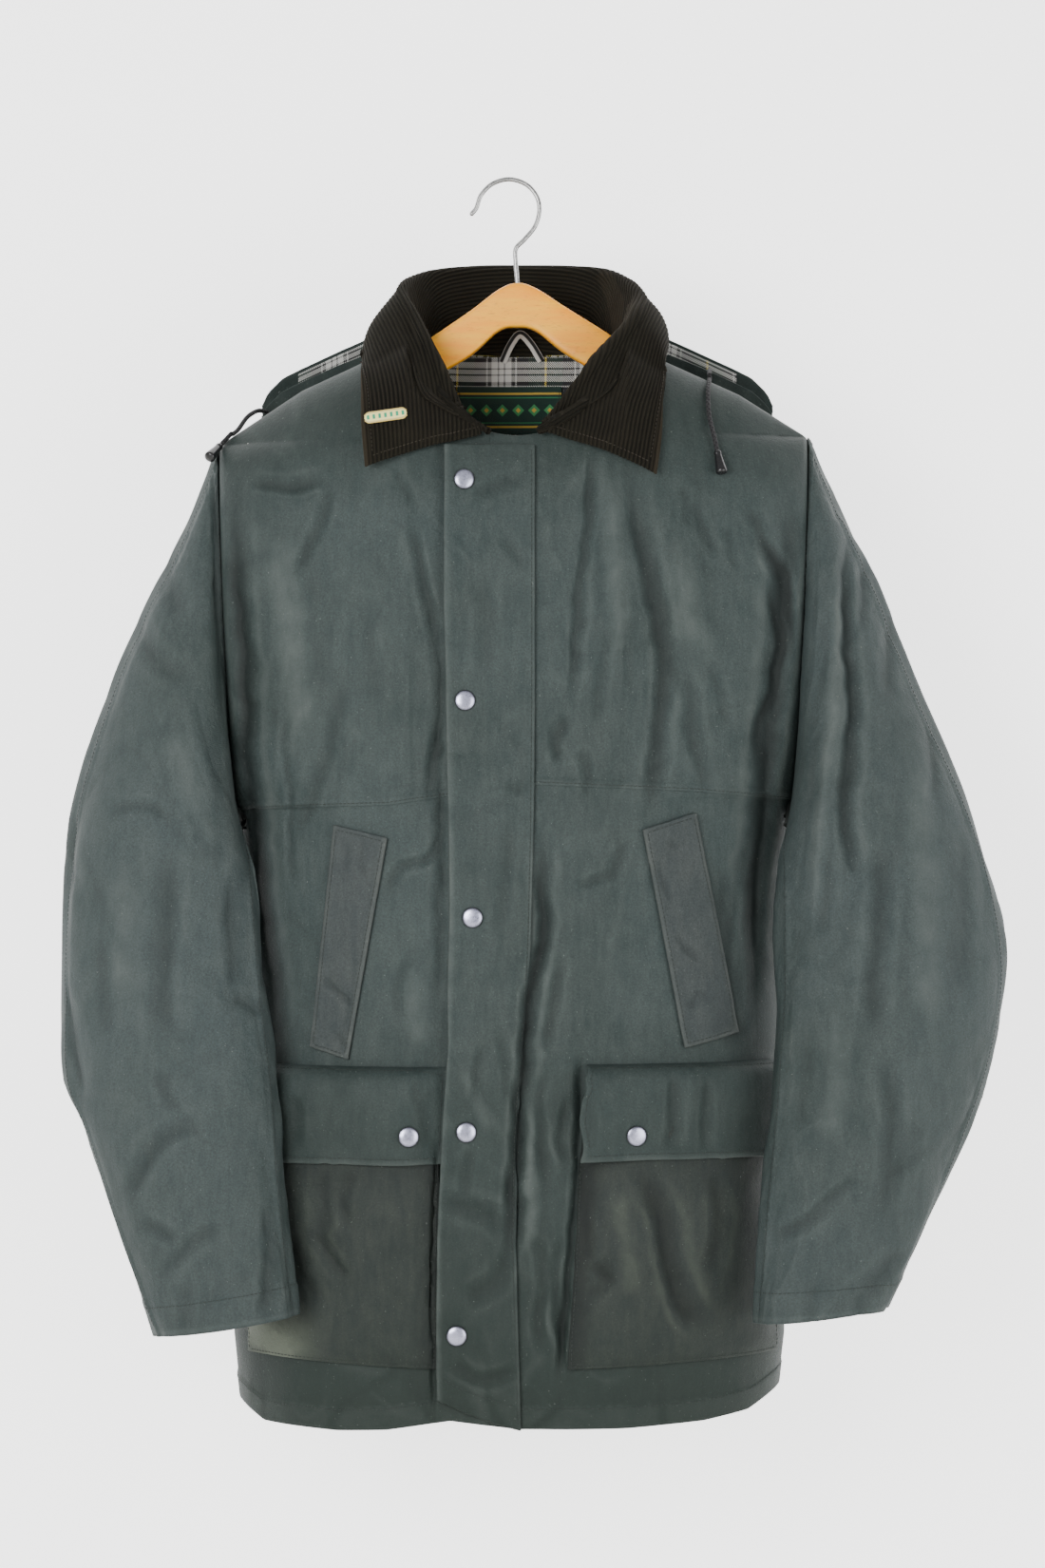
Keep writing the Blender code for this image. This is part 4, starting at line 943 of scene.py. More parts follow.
def from_frame(rows, y):
    """Fold rows with their lines turned from pixels of the frame to whole mm on the plane at y. The
    size of a pixel there is its size at the hanger times the share of the distance that is left."""
    pixel = PIXEL_AT_HANGER * (CAMERA_AWAY + y) / CAMERA_AWAY
    (middle, centre), (middle_across, middle_down) = FRAME_LOOKS_AT, FRAME_CENTRE
    return [(*row[:3], *((round(middle + (across - middle_across) * pixel),
                          round(centre - (down - middle_down) * pixel)) for across, down in row[3:]))
            for row in rows]


FRONT_FOLDS = from_frame([
    (3.5, 5, 9, (256, 503), (300, 511), (346, 506)),
    (3, 7, 7, (346, 500), (338, 540), (322, 580), (302, 608)),
    (2.5, 9, 7, (368, 690), (356, 745), (342, 800), (322, 850), (312, 880)),
    (1.5, 7, 7, (384, 640), (390, 700), (394, 745)),
    (2, 4, 5, (414, 485), (422, 508), (432, 528)),
    (2, 6, 5, (467, 750), (456, 800), (446, 850)),
    (13, 9, 12, (248, 470), (245, 560), (249, 640), (254, 720), (256, 800), (262, 880), (272, 960),
     (284, 1060), (290, 1150)),
    (2.5, 3, 5, (296, 730), (300, 800), (304, 880), (306, 950)),
    (-3, 16, 16, (285, 540), (300, 620), (310, 720), (318, 800)),
    (3, 7, 5, (404, 955), (418, 915), (448, 902), (464, 878)),
    (2, 6, 6, (430, 1000), (418, 1040), (424, 1080)),
    (-2, 12, 12, (440, 1010), (436, 1060), (446, 1110)),
    (4, 3.5, 7, (624, 440), (622, 510), (614, 560), (608, 620), (604, 700), (597, 745)),
    (3.5, 6, 6, (599, 748), (588, 768), (583, 788), (592, 806)),
    (2.5, 6, 6, (604, 790), (616, 800), (621, 820), (616, 840)),
    (5.5, 6, 12, (656, 470), (670, 550), (682, 610), (691, 660), (696, 710), (691, 770), (684, 830),
     (680, 862)),
    (2, 6, 6, (642, 640), (633, 715), (624, 765)),
    (1.8, 4, 5, (664, 640), (662, 690), (664, 740)),
    (3, 7, 9, (700, 680), (720, 722), (729, 765), (737, 810), (742, 850)),
    (2, 5, 6, (744, 690), (757, 730), (768, 770)),
    (1.8, 5, 5, (716, 500), (722, 530), (728, 560)),
    (1.8, 5, 5, (766, 545), (772, 575), (780, 605)),
    (2.5, 6, 6, (732, 520), (741, 552), (756, 590)),
    (14, 14, 10, (842, 480), (834, 560), (828, 640), (822, 710), (812, 780), (806, 860), (800, 940),
     (798, 1030), (796, 1120)),
    (-3, 12, 12, (640, 480), (648, 560), (650, 640), (646, 720)),
    (-3, 14, 14, (712, 560), (724, 640), (748, 700)),
    (3, 6, 8, (786, 530), (806, 560), (816, 600)),
    (2.5, 4, 5, (606, 932), (628, 926), (652, 921)),
    (2.2, 6, 6, (660, 880), (652, 905), (640, 925)),
    (7, 6, 9, (560, 840), (569, 900), (571, 965), (563, 1020), (554, 1080), (549, 1140), (543, 1180),
     (540, 1250), (536, 1310), (528, 1345)),
    (3, 6, 6, (590, 1000), (584, 1060), (572, 1110)),
    (3, 6, 5, (575, 1120), (565, 1160), (572, 1205), (577, 1260)),
    (2.5, 5, 5, (600, 1150), (590, 1190), (594, 1230)),
    (2.5, 6, 6, (560, 1290), (572, 1330), (568, 1380), (575, 1440)),
    (2.5, 5, 5, (592, 1290), (584, 1340), (590, 1400), (586, 1450)),
    (-2.5, 7, 7, (556, 1180), (560, 1250), (556, 1320)),
    (4, 12, 10, (760, 900), (764, 980), (770, 1060), (776, 1110)),
    (3, 5, 5, (790, 860), (776, 940), (770, 1000)),
], FRONT_PLANE) + [
    (3.5, 7, 5, (-73, -253), (-65, -288), (-57, -322), (-52, -350)),
    (4, 5, 6, (191, -290), (194, -315), (198, -359), (185, -400), (182, -414), (187, -440)),
    (4, 9, 6, (176, -262), (190, -276), (203, -300), (209, -330), (208, -365)),
    (2.5, 7, 4, (-50, -300), (-50, -360), (-51, -430), (-49, -500), (-49, -560), (-50, -640)),
    (3, 3, 3, (-53, -700), (-55, -760), (-56, -830), (-55, -930)),
    (5, 5, 3.5, (53, -640), (52, -672), (49, -730), (45, -790), (39, -850), (36, -890)),
]
BACK_FOLDS = [
    (6, 12, 9, (-148, -215), (-140, -290), (-120, -360), (-108, -430), (-112, -520)),
    (5, 8, 12, (150, -210), (146, -280), (130, -340), (118, -430), (104, -500), (108, -560)),
    (4, 8, 8, (-60, -190), (-66, -240), (-58, -310), (-64, -380)),
    (3.5, 9, 7, (58, -185), (62, -250), (70, -330), (60, -400)),
    (5, 10, 14, (-30, -430), (-24, -520), (-34, -610), (-28, -700), (-38, -800)),
    (5.5, 13, 9, (46, -470), (38, -560), (48, -650), (60, -740), (56, -830)),
    (4, 9, 9, (-96, -600), (-90, -680), (-100, -760), (-92, -850)),
    (4.5, 9, 12, (104, -620), (112, -700), (104, -790), (110, -870)),
    (4, 7, 10, (168, -330), (160, -420), (166, -520), (158, -620), (162, -700)),
    (4, 10, 7, (-166, -320), (-158, -400), (-164, -500), (-154, -600), (-160, -690)),
    (3, 6, 6, (-190, -480), (-150, -500), (-110, -492)),
    (3, 6, 7, (196, -470), (160, -496), (120, -500), (86, -488)),
    (2.5, 6, 6, (-20, -300), (6, -312), (40, -304)),
    (-3, 16, 16, (0, -350), (8, -440), (4, -560), (12, -680)),
    (-3, 15, 15, (-130, -560), (-126, -660), (-134, -780)),
    (-3, 14, 14, (140, -560), (136, -640), (140, -740)),
    (2.5, 6, 6, (-70, -740), (-60, -790), (-66, -860)),
    (2.5, 6, 6, (20, -800), (12, -850), (18, -900)),
    (2.5, 6, 6, (76, -860), (82, -880), (80, -905)),
    (2, 5, 5, (-140, -860), (-136, -885), (-142, -908)),
]


def relief(x, z, front):
    """How far folds and creases move the body's face outwards, and their wear and painted shade."""
    depth, wear = folds(x, z, FRONT_FOLDS if front else BACK_FOLDS)
    height, rubbed_and_shaded = crumple(x, z, 3 if front else 40)
    swell = 1.6 * ruffle(x, z, 70, 8 if front else 48)
    share = 1.0 if front else 0.7
    return height + swell - share * depth, share * wear + (rubbed_and_shaded if front else 0.35 * rubbed_and_shaded)


def body_y(x, z, front):
    """The outer face of the body with its folds. They fade out at the side and the top edges."""
    x, z = np.broadcast_arrays(np.asarray(x, float), np.asarray(z, float))
    fade = np.sqrt(1 - across_body(x, z) ** 3) * smoothstep((top_z(x, front) - z) / 26)
    height, _ = relief(x, z, front)
    return plain_y(x, z, front) + (-1 if front else 1) * fade * height


def on_body(x, z, lift=0.0, front=True):
    """A grid of points moved out from the body along its normals by the lift."""
    base = np.stack([x, body_y(x, z, front), z], axis=-1)
    return base + normals_of(base) * np.broadcast_to(lift, x.shape)[..., None]


chest_y = [float(body_y(60.0, -400.0, front)) for front in (True, False)]
print("depth of the chest:", round(chest_y[1] - chest_y[0]), "mm")

# %% [markdown]
# ## Body panels
#
# Each front is cut above and below a chest seam, where the upper panel laps 3 mm over the lower one,
# and the back is one panel. The grid lines keep their share of the width as the sides come in, and
# crowd together near the sides, where the cloth turns fastest. Three small things make a flat panel
# look sewn: a turned-up hem is a little thicker, a seam stands up a little where its layers are
# stitched together, and cloth puckers along a stitch line.

# %% Body panels
# Thickness of the cloths, in mm: one layer, a doubled one, a lining
SINGLE, DOUBLED, THIN = 1.4, 2.2, 0.9
CHEST_LAP, BODY_HEM = 3.0, 15.0
# Points of the grids: across a front or half the back, and down the upper front, lower front and back
FRONT_COLUMNS, BACK_COLUMNS = 112, 88
UPPER_ROWS, LOWER_ROWS, BACK_ROWS = 158, 206, 262


def crowded(first, last, count, ends=0.55):
    """Places between two values that come closer together at the far end."""
    part = np.linspace(0, 1, count)
    part = part * (1 - ends) + np.sin(part * math.pi / 2) * ends
    return first + (last - first) * part


def puckers(along, away, seed, reach=9.0):
    """Small waves along a stitch line that die out beside it, in mm."""
    phase = TURN * (along / 9 + 0.6 * ruffle(along, 0 * along, 31, seed))
    uneven = 0.6 + 0.4 * ruffle(along, away, 50, seed)
    return 0.33 * np.sin(phase) * np.exp(-np.abs(away) / reach) * uneven


def seam_band(away, width):
    """A flat band beside a seam or hem, raised 0.75 mm by the layers under it."""
    return 0.75 * (1 - smoothstep((away - width) / 2.5))


def with_shoulder_top(points, out):
    """Add the strip that runs level from the shoulder seam, over the hanger. Beside the neckline the
    same rows are squeezed in under the edge."""
    first = points[0]
    level = ((np.abs(first[:, 0] - MID_X) > NECK_HALF - 0.1) & (np.abs(first[:, 1]) > 3))[:, None]
    rows = []
    for part in (0.0, 0.3, 0.65):
        seam = first * [1, part, 1] + np.array([0, out * 0.6 * (1 - part), 0])
        squeezed = first + (points[1] - first) * part * 0.8
        rows.append(np.where(level, seam, squeezed))
    last = np.where(level, first, first + (points[1] - first) * 0.8)
    return np.concatenate([np.stack(rows), last[None], points[1:]])


def body_panel(name, node, columns, top, bottom, rows, front, anchor, seams):
    """One panel of the body. Each seam is a line of z over x, the height and width of its raised
    band, and whether the band is above the line."""
    crowd = (1 - np.cos(np.linspace(0, math.pi, rows)))[:, None] / 2
    z = top + (bottom - top) * (np.linspace(0, 1, rows)[:, None] * 0.6 + crowd * 0.4)
    edge = np.where(columns < anchor, SHOULDER[0][0], SHOULDER[-1][0])
    side = np.where(columns < anchor, side_x(z, -1), side_x(z, 1))
    x = anchor + (columns - anchor) * (side - anchor) / (edge - anchor)
    lift = np.zeros(x.shape)
    for line, width in seams:
        away = np.abs(z - line(x))
        lift += seam_band(away, width) + puckers(x, away - width, len(name))
    points = on_body(x, z, lift, front)
    out = -1 if front else 1
    points[:, np.abs(columns - edge) < 0.01, 1] += out * 0.6
    wear = relief(x, z, front)[1] + 0.1 * (lift > 0.4)
    if top.max() > -200:
        points = with_shoulder_top(points, out)
        wear = np.concatenate([wear[:1], wear[:1], wear[:1], wear])
    return sewn(name, node, points, SINGLE, WAXED, inside=TARTAN, wear=wear)


def neck_and_shoulder(side, count, start):
    """Places across one half of the top edge, from the middle out."""
    turn = np.linspace(start, math.pi / 2, count // 2)
    low = math.sin(start)
    neck = MID_X + side * NECK_HALF * (0.35 * np.sin(turn) + 0.65 * np.linspace(low, 1, count // 2))
    point = SHOULDER[0][0] if side < 0 else SHOULDER[-1][0]
    shoulder = crowded(MID_X + side * NECK_HALF, point, count // 2)
    return np.concatenate([neck[:-1], shoulder])


chest_line, front_hem, back_hem = (
    partial(column, table, index=1) for table in (CHEST_SEAM, FRONT_HEM, BACK_HEM))
SIDES = {"right": -1, "left": 1}
for word, side in SIDES.items():
    start = math.asin((CENTRE_X + side * 0.5 - MID_X) / NECK_HALF * side)
    columns = neck_and_shoulder(side, FRONT_COLUMNS, start)[::side]
    chest, hem = chest_line(columns), front_hem(columns * HEM_SHARE)
    body_panel(f"{word}_upper_front", f"front_upper_{word}", columns, top_z(columns, True), chest,
               UPPER_ROWS, True, CENTRE_X, [(chest_line, CHEST_LAP)])
    body_panel(f"{word}_lower_front", f"front_lower_{word}", columns, chest + CHEST_LAP, hem,
               LOWER_ROWS, True, CENTRE_X, [(front_hem, BODY_HEM)])
left_half, right_half = (neck_and_shoulder(side, BACK_COLUMNS, 0.0) for side in (1, -1))
columns = np.concatenate([left_half[::-1], right_half[1:]])
body_panel("back_panel", "back", columns, top_z(columns, False), back_hem(columns * HEM_SHARE),
           BACK_ROWS, False, MID_X, [(back_hem, BODY_HEM)])
print("body panels:", [row[0] for row in cut_list])

# %% [markdown]
# ## Sleeves
#
# A coat sleeve is cut in two pieces that meet in a seam down its front and another behind. Ours is
# lofted: each ring is an oval between an outer and an inner point, with a depth to the front and to
# the back, and the first ring is the armhole. It hangs a little forward and bends at the elbow, so it
# wrinkles across the bend and drapes in long folds above and below it. The cuff has a deep hem.

# %% Sleeves
# Down each sleeve: the outer point x y z, the inner point x y z, the depth in front and behind
SLEEVE_RINGS = {
    "right": [(-216, 0, -198, -204.5, 8, -468, 44, 38), (-237, -4, -252, -198, -13, -483, 50, 36),
              (-270, -12, -320, -191.5, -31, -498.5, 50, 34), (-301, -20, -398, -187, -43, -513, 47, 33),
              (-321, -30, -470, -184, -52, -534, 45, 33), (-327, -40, -545, -179, -65, -580, 43, 33),
              (-329, -48, -615, -173, -76, -628, 42, 32), (-326, -56, -668, -167, -84, -676, 42, 31),
              (-309, -66, -706, -164, -90, -722, 40, 30), (-283, -76, -782, -159, -96, -776, 38, 28),
              (-256, -86, -849, -154, -100, -832, 35, 26)],
    "left": [(222, 0, -192, 212.5, 8, -461, 44, 38), (241, -4, -234, 206.5, -13, -477, 50, 36),
             (268, -10, -292, 201.5, -31, -492, 50, 34), (302, -18, -380, 198, -43, -506, 48, 33),
             (338, -28, -462, 197, -52, -526, 46, 33), (358, -38, -528, 196, -63, -568, 44, 33),
             (365, -46, -590, 195, -74, -612, 43, 32), (353, -56, -655, 191, -82, -662, 42, 31),
             (331, -66, -713, 187, -90, -712, 41, 30), (304, -76, -770, 182, -96, -768, 38, 28),
             (274, -86, -828, 178, -99, -838, 35, 26)],
}
SLEEVE_FRONT_FOLDS = {
    "right": from_frame([
        (6, 4, 6, (221, 470), (224, 530), (226, 590), (231, 640), (236, 700)),
        (-3, 5, 5, (234, 500), (236, 560), (240, 620)),
        (2.5, 6, 6, (118, 858), (140, 850), (160, 850), (174, 862)),
        (2, 5, 5, (199, 848), (206, 868), (210, 888)),
        (4, 14, 10, (176, 880), (180, 960), (176, 1040), (180, 1100)),
        (-2.5, 14, 14, (130, 900), (134, 980), (128, 1060)),
        (2, 9, 9, (112, 980), (116, 1040), (112, 1100)),
        (3.5, 11, 7, (222, 1180), (192, 1188), (168, 1206), (150, 1238), (134, 1272)),
        (3, 6, 9, (240, 1284), (218, 1288), (196, 1308), (168, 1342)),
        (3, 5, 8, (150, 1286), (172, 1290), (190, 1300)),
        (3.5, 8, 10, (246, 900), (246, 980), (249, 1050)),
        (3, 6, 8, (246, 1052), (262, 1056), (276, 1072)),
        (-3, 9, 9, (240, 760), (243, 860), (244, 960)),
        (4, 6, 9, (286, 1250), (284, 1320), (280, 1388)),
        (2, 7, 7, (196, 1180), (180, 1140), (168, 1120)),
        (2.5, 7, 7, (78, 850), (74, 900), (76, 950)),
        (3, 5, 6, (70, 1030), (76, 1090), (88, 1160)),
        (2.5, 12, 12, (150, 560), (170, 600), (186, 660)),
        (2.5, 10, 10, (130, 640), (160, 690), (200, 720)),
        (-2, 14, 14, (180, 760), (200, 820), (216, 900)),
        (2, 8, 8, (200, 1340), (204, 1370), (200, 1392)),
    ], SLEEVE_PLANE),
    "left": from_frame([
        (9, 6, 9, (899, 545), (893, 600), (892, 680), (900, 710), (895, 780), (890, 850), (896, 905),
         (904, 925)),
        (-4, 7, 8, (884, 560), (882, 700), (871, 800), (861, 890), (850, 970)),
        (3, 5, 6, (918, 580), (916, 620), (912, 670)),
        (2.5, 5, 5, (880, 510), (892, 545)),
        (2.5, 6, 7, (866, 880), (868, 940), (858, 990)),
        (4.5, 10, 12, (932, 870), (926, 930), (920, 985), (914, 1050), (916, 1100)),
        (3.5, 10, 10, (928, 1100), (934, 1160), (930, 1230), (918, 1280)),
        (2.5, 8, 8, (958, 1170), (950, 1210), (940, 1240)),
        (3.2, 5, 8, (904, 1226), (876, 1246), (852, 1270), (830, 1284), (804, 1294)),
        (3, 10, 8, (944, 1310), (922, 1336), (900, 1358)),
        (-3, 14, 14, (960, 760), (972, 880), (974, 1000), (968, 1100)),
        (2, 10, 10, (1010, 860), (1014, 960), (1008, 1060)),
        (-2.5, 12, 12, (880, 1040), (878, 1130), (868, 1210)),
        (2, 8, 8, (846, 1060), (842, 1130), (836, 1190)),
        (3, 6, 7, (948, 640), (940, 690), (942, 740)),
        (2.5, 6, 6, (975, 760), (985, 800), (982, 850)),
        (2, 7, 7, (850, 1330), (846, 1370), (850, 1392)),
        (2, 7, 7, (900, 1350), (896, 1392)),
    ], SLEEVE_PLANE),
}
# Behind, on the right sleeve; the left sleeve has them mirrored
SLEEVE_BACK_FOLDS = [
    (4, 9, 12, (-226, -240), (-236, -300), (-240, -360), (-236, -430)),
    (4, 7, 10, (-300, -420), (-270, -452), (-236, -470), (-208, -500)),
    (4.5, 8, 8, (-318, -520), (-286, -540), (-250, -548), (-214, -540)),
    (4, 8, 10, (-322, -590), (-290, -600), (-256, -596), (-222, -610)),
    (3.5, 7, 9, (-312, -650), (-280, -664), (-240, -660)),
    (3, 8, 8, (-250, -690), (-236, -740), (-230, -800)),
    (3, 8, 8, (-210, -640), (-204, -700), (-196, -760)),
    (-3, 14, 14, (-270, -470), (-280, -560), (-276, -650)),
    (3, 9, 7, (-262, -320), (-280, -380), (-296, -440)),
]


# In mm: one degree round a sleeve, one ring down it, and one ring near the cuff
ROUND_MM, DOWN_MM, END_MM = 1.15, 64, 62
LAST_RING, SLEEVE_ROWS = 10, 262
# The two pieces of a sleeve: the degrees of its seams, and its points from one to the other
SLEEVE_PARTS = {"top": (18, 162, 84), "under": (162, 378, 104)}
CUFF_HEM, ARMHOLE_SEAM, SLEEVE_SEAM = 22, 7, 6


def sleeve_points(word, along, degrees):
    """Points of a sleeve at ring numbers along it and degrees round it. Each point is the middle of
    its ring, plus half its width times the cosine, plus its depth times the sine."""
    rings = smooth_rows(SLEEVE_RINGS[word], along)[:, None, :]
    angle = np.radians(degrees)[None, :, None]
    outer, inner = rings[..., 0:3], rings[..., 3:6]
    depth = np.where(np.sin(angle) > 0, -rings[..., 6:7], -rings[..., 7:8])
    points = (outer + inner) / 2 + (outer - inner) / 2 * np.cos(angle)
    points[..., 1:2] += depth * np.sin(angle)
    return points


def clear_of_body(points, weight, degrees):
    """Keep sleeve points in front of the body, and further in front of its pockets. The front of the
    sleeve stays clear of its own back by nine times its sine."""
    x, y, z = points[..., 0], points[..., 1], points[..., 2]
    nearer = x - np.sign(x) * 12
    beside = smoothstep((-625 - z) / 45) * 17
    own_back = 9 * np.maximum(np.sin(np.radians(degrees)) + 0.31, 0)
    limit = plain_y(nearer, np.minimum(z, -470), True) - 4 - beside - own_back
    weight = weight * smoothstep((-452 - z) / 30) * smoothstep((1 - across_body(nearer, z)) / 0.05)
    points[..., 1] = y - np.maximum(y - limit, 0) * weight
    return points


def sleeve_piece(word, side, part, first, last, count):
    """The top or the under piece of a sleeve, from one seam to the other. Where its rows crowd
    together at the underarm, the cloth stays smooth."""
    along = np.linspace(0, LAST_RING, SLEEVE_ROWS)
    degrees = np.linspace(first + 0.9, last - 0.9, count)
    if side > 0:
        degrees = degrees[::-1]
    points = sleeve_points(word, along, degrees)
    normal = normals_of(points)
    x, z = points[..., 0], points[..., 2]
    front_depth, front_wear = (0.78 * part_of for part_of in folds(x, z, SLEEVE_FRONT_FOLDS[word]))
    back_depth, back_wear = (0.6 * part_of for part_of in folds(-side * x, z, SLEEVE_BACK_FOLDS))
    facing = smoothstep(0.45 - 0.9 * normal[..., 1])
    round_mm, down_mm = degrees[None, :] * ROUND_MM + 0 * x, along[:, None] * DOWN_MM + 0 * x
    seed = 60 + 20 * side + (5 if part == "under" else 0)
    height, rubbed_and_shaded = crumple(round_mm, down_mm, seed)
    swell = 2.6 * ruffle(round_mm, down_mm, 64, seed + 9)
    from_seam = np.minimum(degrees - first, last - degrees)[None, :] * ROUND_MM
    calm = smoothstep(from_seam / 16) * smoothstep(down_mm / 18 + 0.15)
    fold = front_depth * facing + back_depth * (1 - facing)
    lift = (height * 1.2 + swell) * calm - fold * smoothstep(down_mm / 30)
    cuff = (LAST_RING - along)[:, None] * END_MM + 0 * x
    lift += seam_band(cuff, CUFF_HEM) + puckers(round_mm, cuff - CUFF_HEM, seed)
    at_armhole = puckers(round_mm, down_mm - ARMHOLE_SEAM, seed + 1)
    lift += seam_band(down_mm, ARMHOLE_SEAM) * 1.3 + 1.5 * at_armhole
    if part == "top":
        lift += seam_band(from_seam, SLEEVE_SEAM) + puckers(down_mm, from_seam - SLEEVE_SEAM, seed + 2)
    # Wear on the crests, and painted shade in the fold troughs and crease valleys
    wear = front_wear * facing + back_wear * (1 - facing) + rubbed_and_shaded + 0.35 * (cuff < 4) * (cuff > 1)
    lift *= smoothstep((np.linalg.norm(np.gradient(points, axis=0), axis=-1) - 0.4) / 1.4)
    points = clear_of_body(points + normal * lift[..., None], np.minimum(along, 1)[:, None], degrees)
    points[..., 0] += side * 0.9 * (1 - smoothstep(along[:, None] / 0.6))
    name = f"{word}_sleeve_{part}"
    return sewn(name, f"sleeve_{part}_{word}", points, SINGLE, SLEEVES, inside=LINING, wear=wear)


for word, side in SIDES.items():
    for part, (first, last, count) in SLEEVE_PARTS.items():
        sleeve_piece(word, side, part, first, last, count)
print("sleeves:", [row[0] for row in cut_list[-4:]])

# %% [markdown]
# ## Collar
#
# The collar is one strip of corduroy: up from the neck seam, over a roll and down as a leaf that
# ends in two points on the chest. Sections round the neck carry it. Its ribs are real ridges here, as
# they make the edge and the roll look soft, so each line down the collar is sampled every 0.64 mm,
# measured back from the outer edge. The rise at a point is 0.55 mm times the square root of the rib
# wave.

# %% Collar
COLLAR_STEP, RIB_PITCH = 0.64, 3.2      # mm between points down the collar, and between ribs
COLLAR_COLUMNS, COLLAR_ROWS, RIBBED_MM = 132, 214, 106.0
# Degrees from the centre back, fold x y z, outer edge x y z, radius of the roll
COLLAR = [(-165, -15, -68, -194, -104, -80, -218, 3.2), (-142, -33, -58, -175, -107, -68, -186, 3.6),
          (-118, -52, -42, -134, -108, -48, -160, 4.2), (-98, -66, -20, -104, -109, -26, -142, 5.0),
          (-74, -75, 6, -82, -107, 6, -128, 5.6), (-42, -54, 38, -66.5, -84, 58, -137, 6.2),
          (0, 6, 50, -62, 6, 71, -140, 6.6),
          (42, 68, 38, -67, 92, 58, -138, 6.2), (74, 91, 6, -86, 115, 6, -127, 5.8),
          (98, 88, -22, -108, 115, -36, -142, 5.4), (118, 66, -42, -134, 113, -50, -172, 4.6),
          (142, 40, -57, -166, 111, -68, -196, 3.8), (168, 21, -67, -192, 107, -80, -223, 3.2)]
COLLAR_FOLDS = [
    (-4, 9, 13, (97, -82), (82, -104), (64, -126), (45, -153)),
    (3.5, 7, 9, (84, -88), (70, -110), (54, -134), (38, -158)),
    (2.5, 8, 8, (-78, -96), (-70, -118), (-58, -146), (-46, -168)),
    (2, 9, 9, (-96, -150), (-82, -170), (-62, -186)),
    (2, 9, 9, (100, -160), (84, -176), (60, -190)),
    (-1.5, 9, 9, (-94, -190), (-66, -196), (-40, -190)),
    (-1.5, 9, 9, (40, -188), (66, -198), (96, -196)),
]


def neck_seam(degrees):
    """The foot of the collar, just inside the neckline, a little higher over the hanger's arms."""
    angle = np.radians(degrees)
    back = np.cos(angle) > 0
    depth = np.where(back, 38.8, 61.8)
    part = np.abs(np.cos(angle))
    drop = np.where(back, BACK_NECK * part, FRONT_NECK * part ** 1.3)
    over_arm = 2 * np.exp(-((np.abs(degrees) - 93) / 12) ** 2)
    x, z = MID_X + 76.8 * np.sin(angle), over_arm - 119 - drop
    return np.stack([x, depth * np.cos(angle), z], axis=-1)


def collar_lines(along):
    """Sections of the collar, from the neck seam up the stand, round the roll and down the leaf."""
    rows = smooth_rows(COLLAR, along)
    seam = neck_seam(rows[:, 0])
    fold, edge, roll = rows[:, 1:4], rows[:, 4:7], rows[:, 7:8]
    outwards = unit((edge - fold) * np.array([1, 1, 0]))
    stand = np.linspace(0, 1, 30)[:, None, None]
    turn = np.linspace(0, math.pi, 16)[1:-1, None, None]
    leaf = np.linspace(0, 1, 60)[:, None, None]
    up = np.array([0, 0, 1.0])
    leaf_top = fold + outwards * 2 * roll
    bow = 7 * 4 * leaf * (1 - leaf)
    return np.concatenate([
        seam + (fold - seam) * stand,
        fold + outwards * roll * (1 - np.cos(turn)) + up * roll * np.sin(turn),
        leaf_top + (edge - leaf_top) * leaf + outwards * bow])


def by_length(lines, count, even_part):
    """Read each column again at places measured back from its last point: even small steps over a
    first part, then what is left. Returns the points and the distance of each from the end."""
    lines = lines[::-1]
    length = run_length(lines)
    steps = int(even_part / COLLAR_STEP)
    near = COLLAR_STEP * np.arange(steps)[:, None] + 0 * length[-1]
    far = near[-1] + (length[-1] - near[-1]) * np.linspace(0, 1, count - steps + 1)[1:, None]
    away = np.concatenate([near, far])
    row = (length[None] <= away[:, None]).sum(1) - 1
    row = np.clip(row, 0, len(lines) - 2)
    low, high = np.take_along_axis(length, row, 0), np.take_along_axis(length, row + 1, 0)
    part = ((away - low) / (high - low))[..., None]
    lower = np.take_along_axis(lines, row[..., None], 0)
    upper = np.take_along_axis(lines, row[..., None] + 1, 0)
    return (lower + (upper - lower) * part)[::-1], away[::-1]


lines = collar_lines(np.linspace(len(COLLAR) - 1, 0, COLLAR_COLUMNS))
points, away = by_length(lines, COLLAR_ROWS, RIBBED_MM)
depth, wear = folds(points[..., 0], points[..., 2], COLLAR_FOLDS)
leaf = smoothstep((118 - away) / 30) * (points[..., 1] < 0)
across = np.arange(COLLAR_COLUMNS)[None, :] * 3.4 + 0 * away
soft = 1.3 * ruffle(across, away, 46, 91) + 0.6 * ruffle(across, away, 21, 92)
ribs = np.sqrt(np.abs(np.sin(math.pi * away / RIB_PITCH)))
fade = smoothstep(away / 3)
points = clear_of_front(points + normals_of(points) * (soft - depth * leaf)[..., None], 6.8)
points = points + normals_of(points) * (0.55 * ribs * fade)[..., None]
flat = np.stack([across * MM, away * MM], axis=-1)
edge_wear = 0.5 * (1 - smoothstep(away / 5)) + 0.3 * wear * leaf + 0.3 * (soft > 1.0)
sewn("corduroy_collar", "collar", points, DOUBLED, CORDUROY, flat=flat, wear=edge_wear, step=1)
print("collar:", points.shape[0], "by", points.shape[1], "points")

# %% [markdown]
# ## Storm fly
#
# The fly is a flap of doubled cloth over the front opening. It is stitched down along one side and
# closed by five snaps along the other, so it stands off the body most at its free edge, and bulges
# between the snaps. It also rises where it laps over the pocket flap. The share is 0 at the free edge
# and 1 at the stitched one.

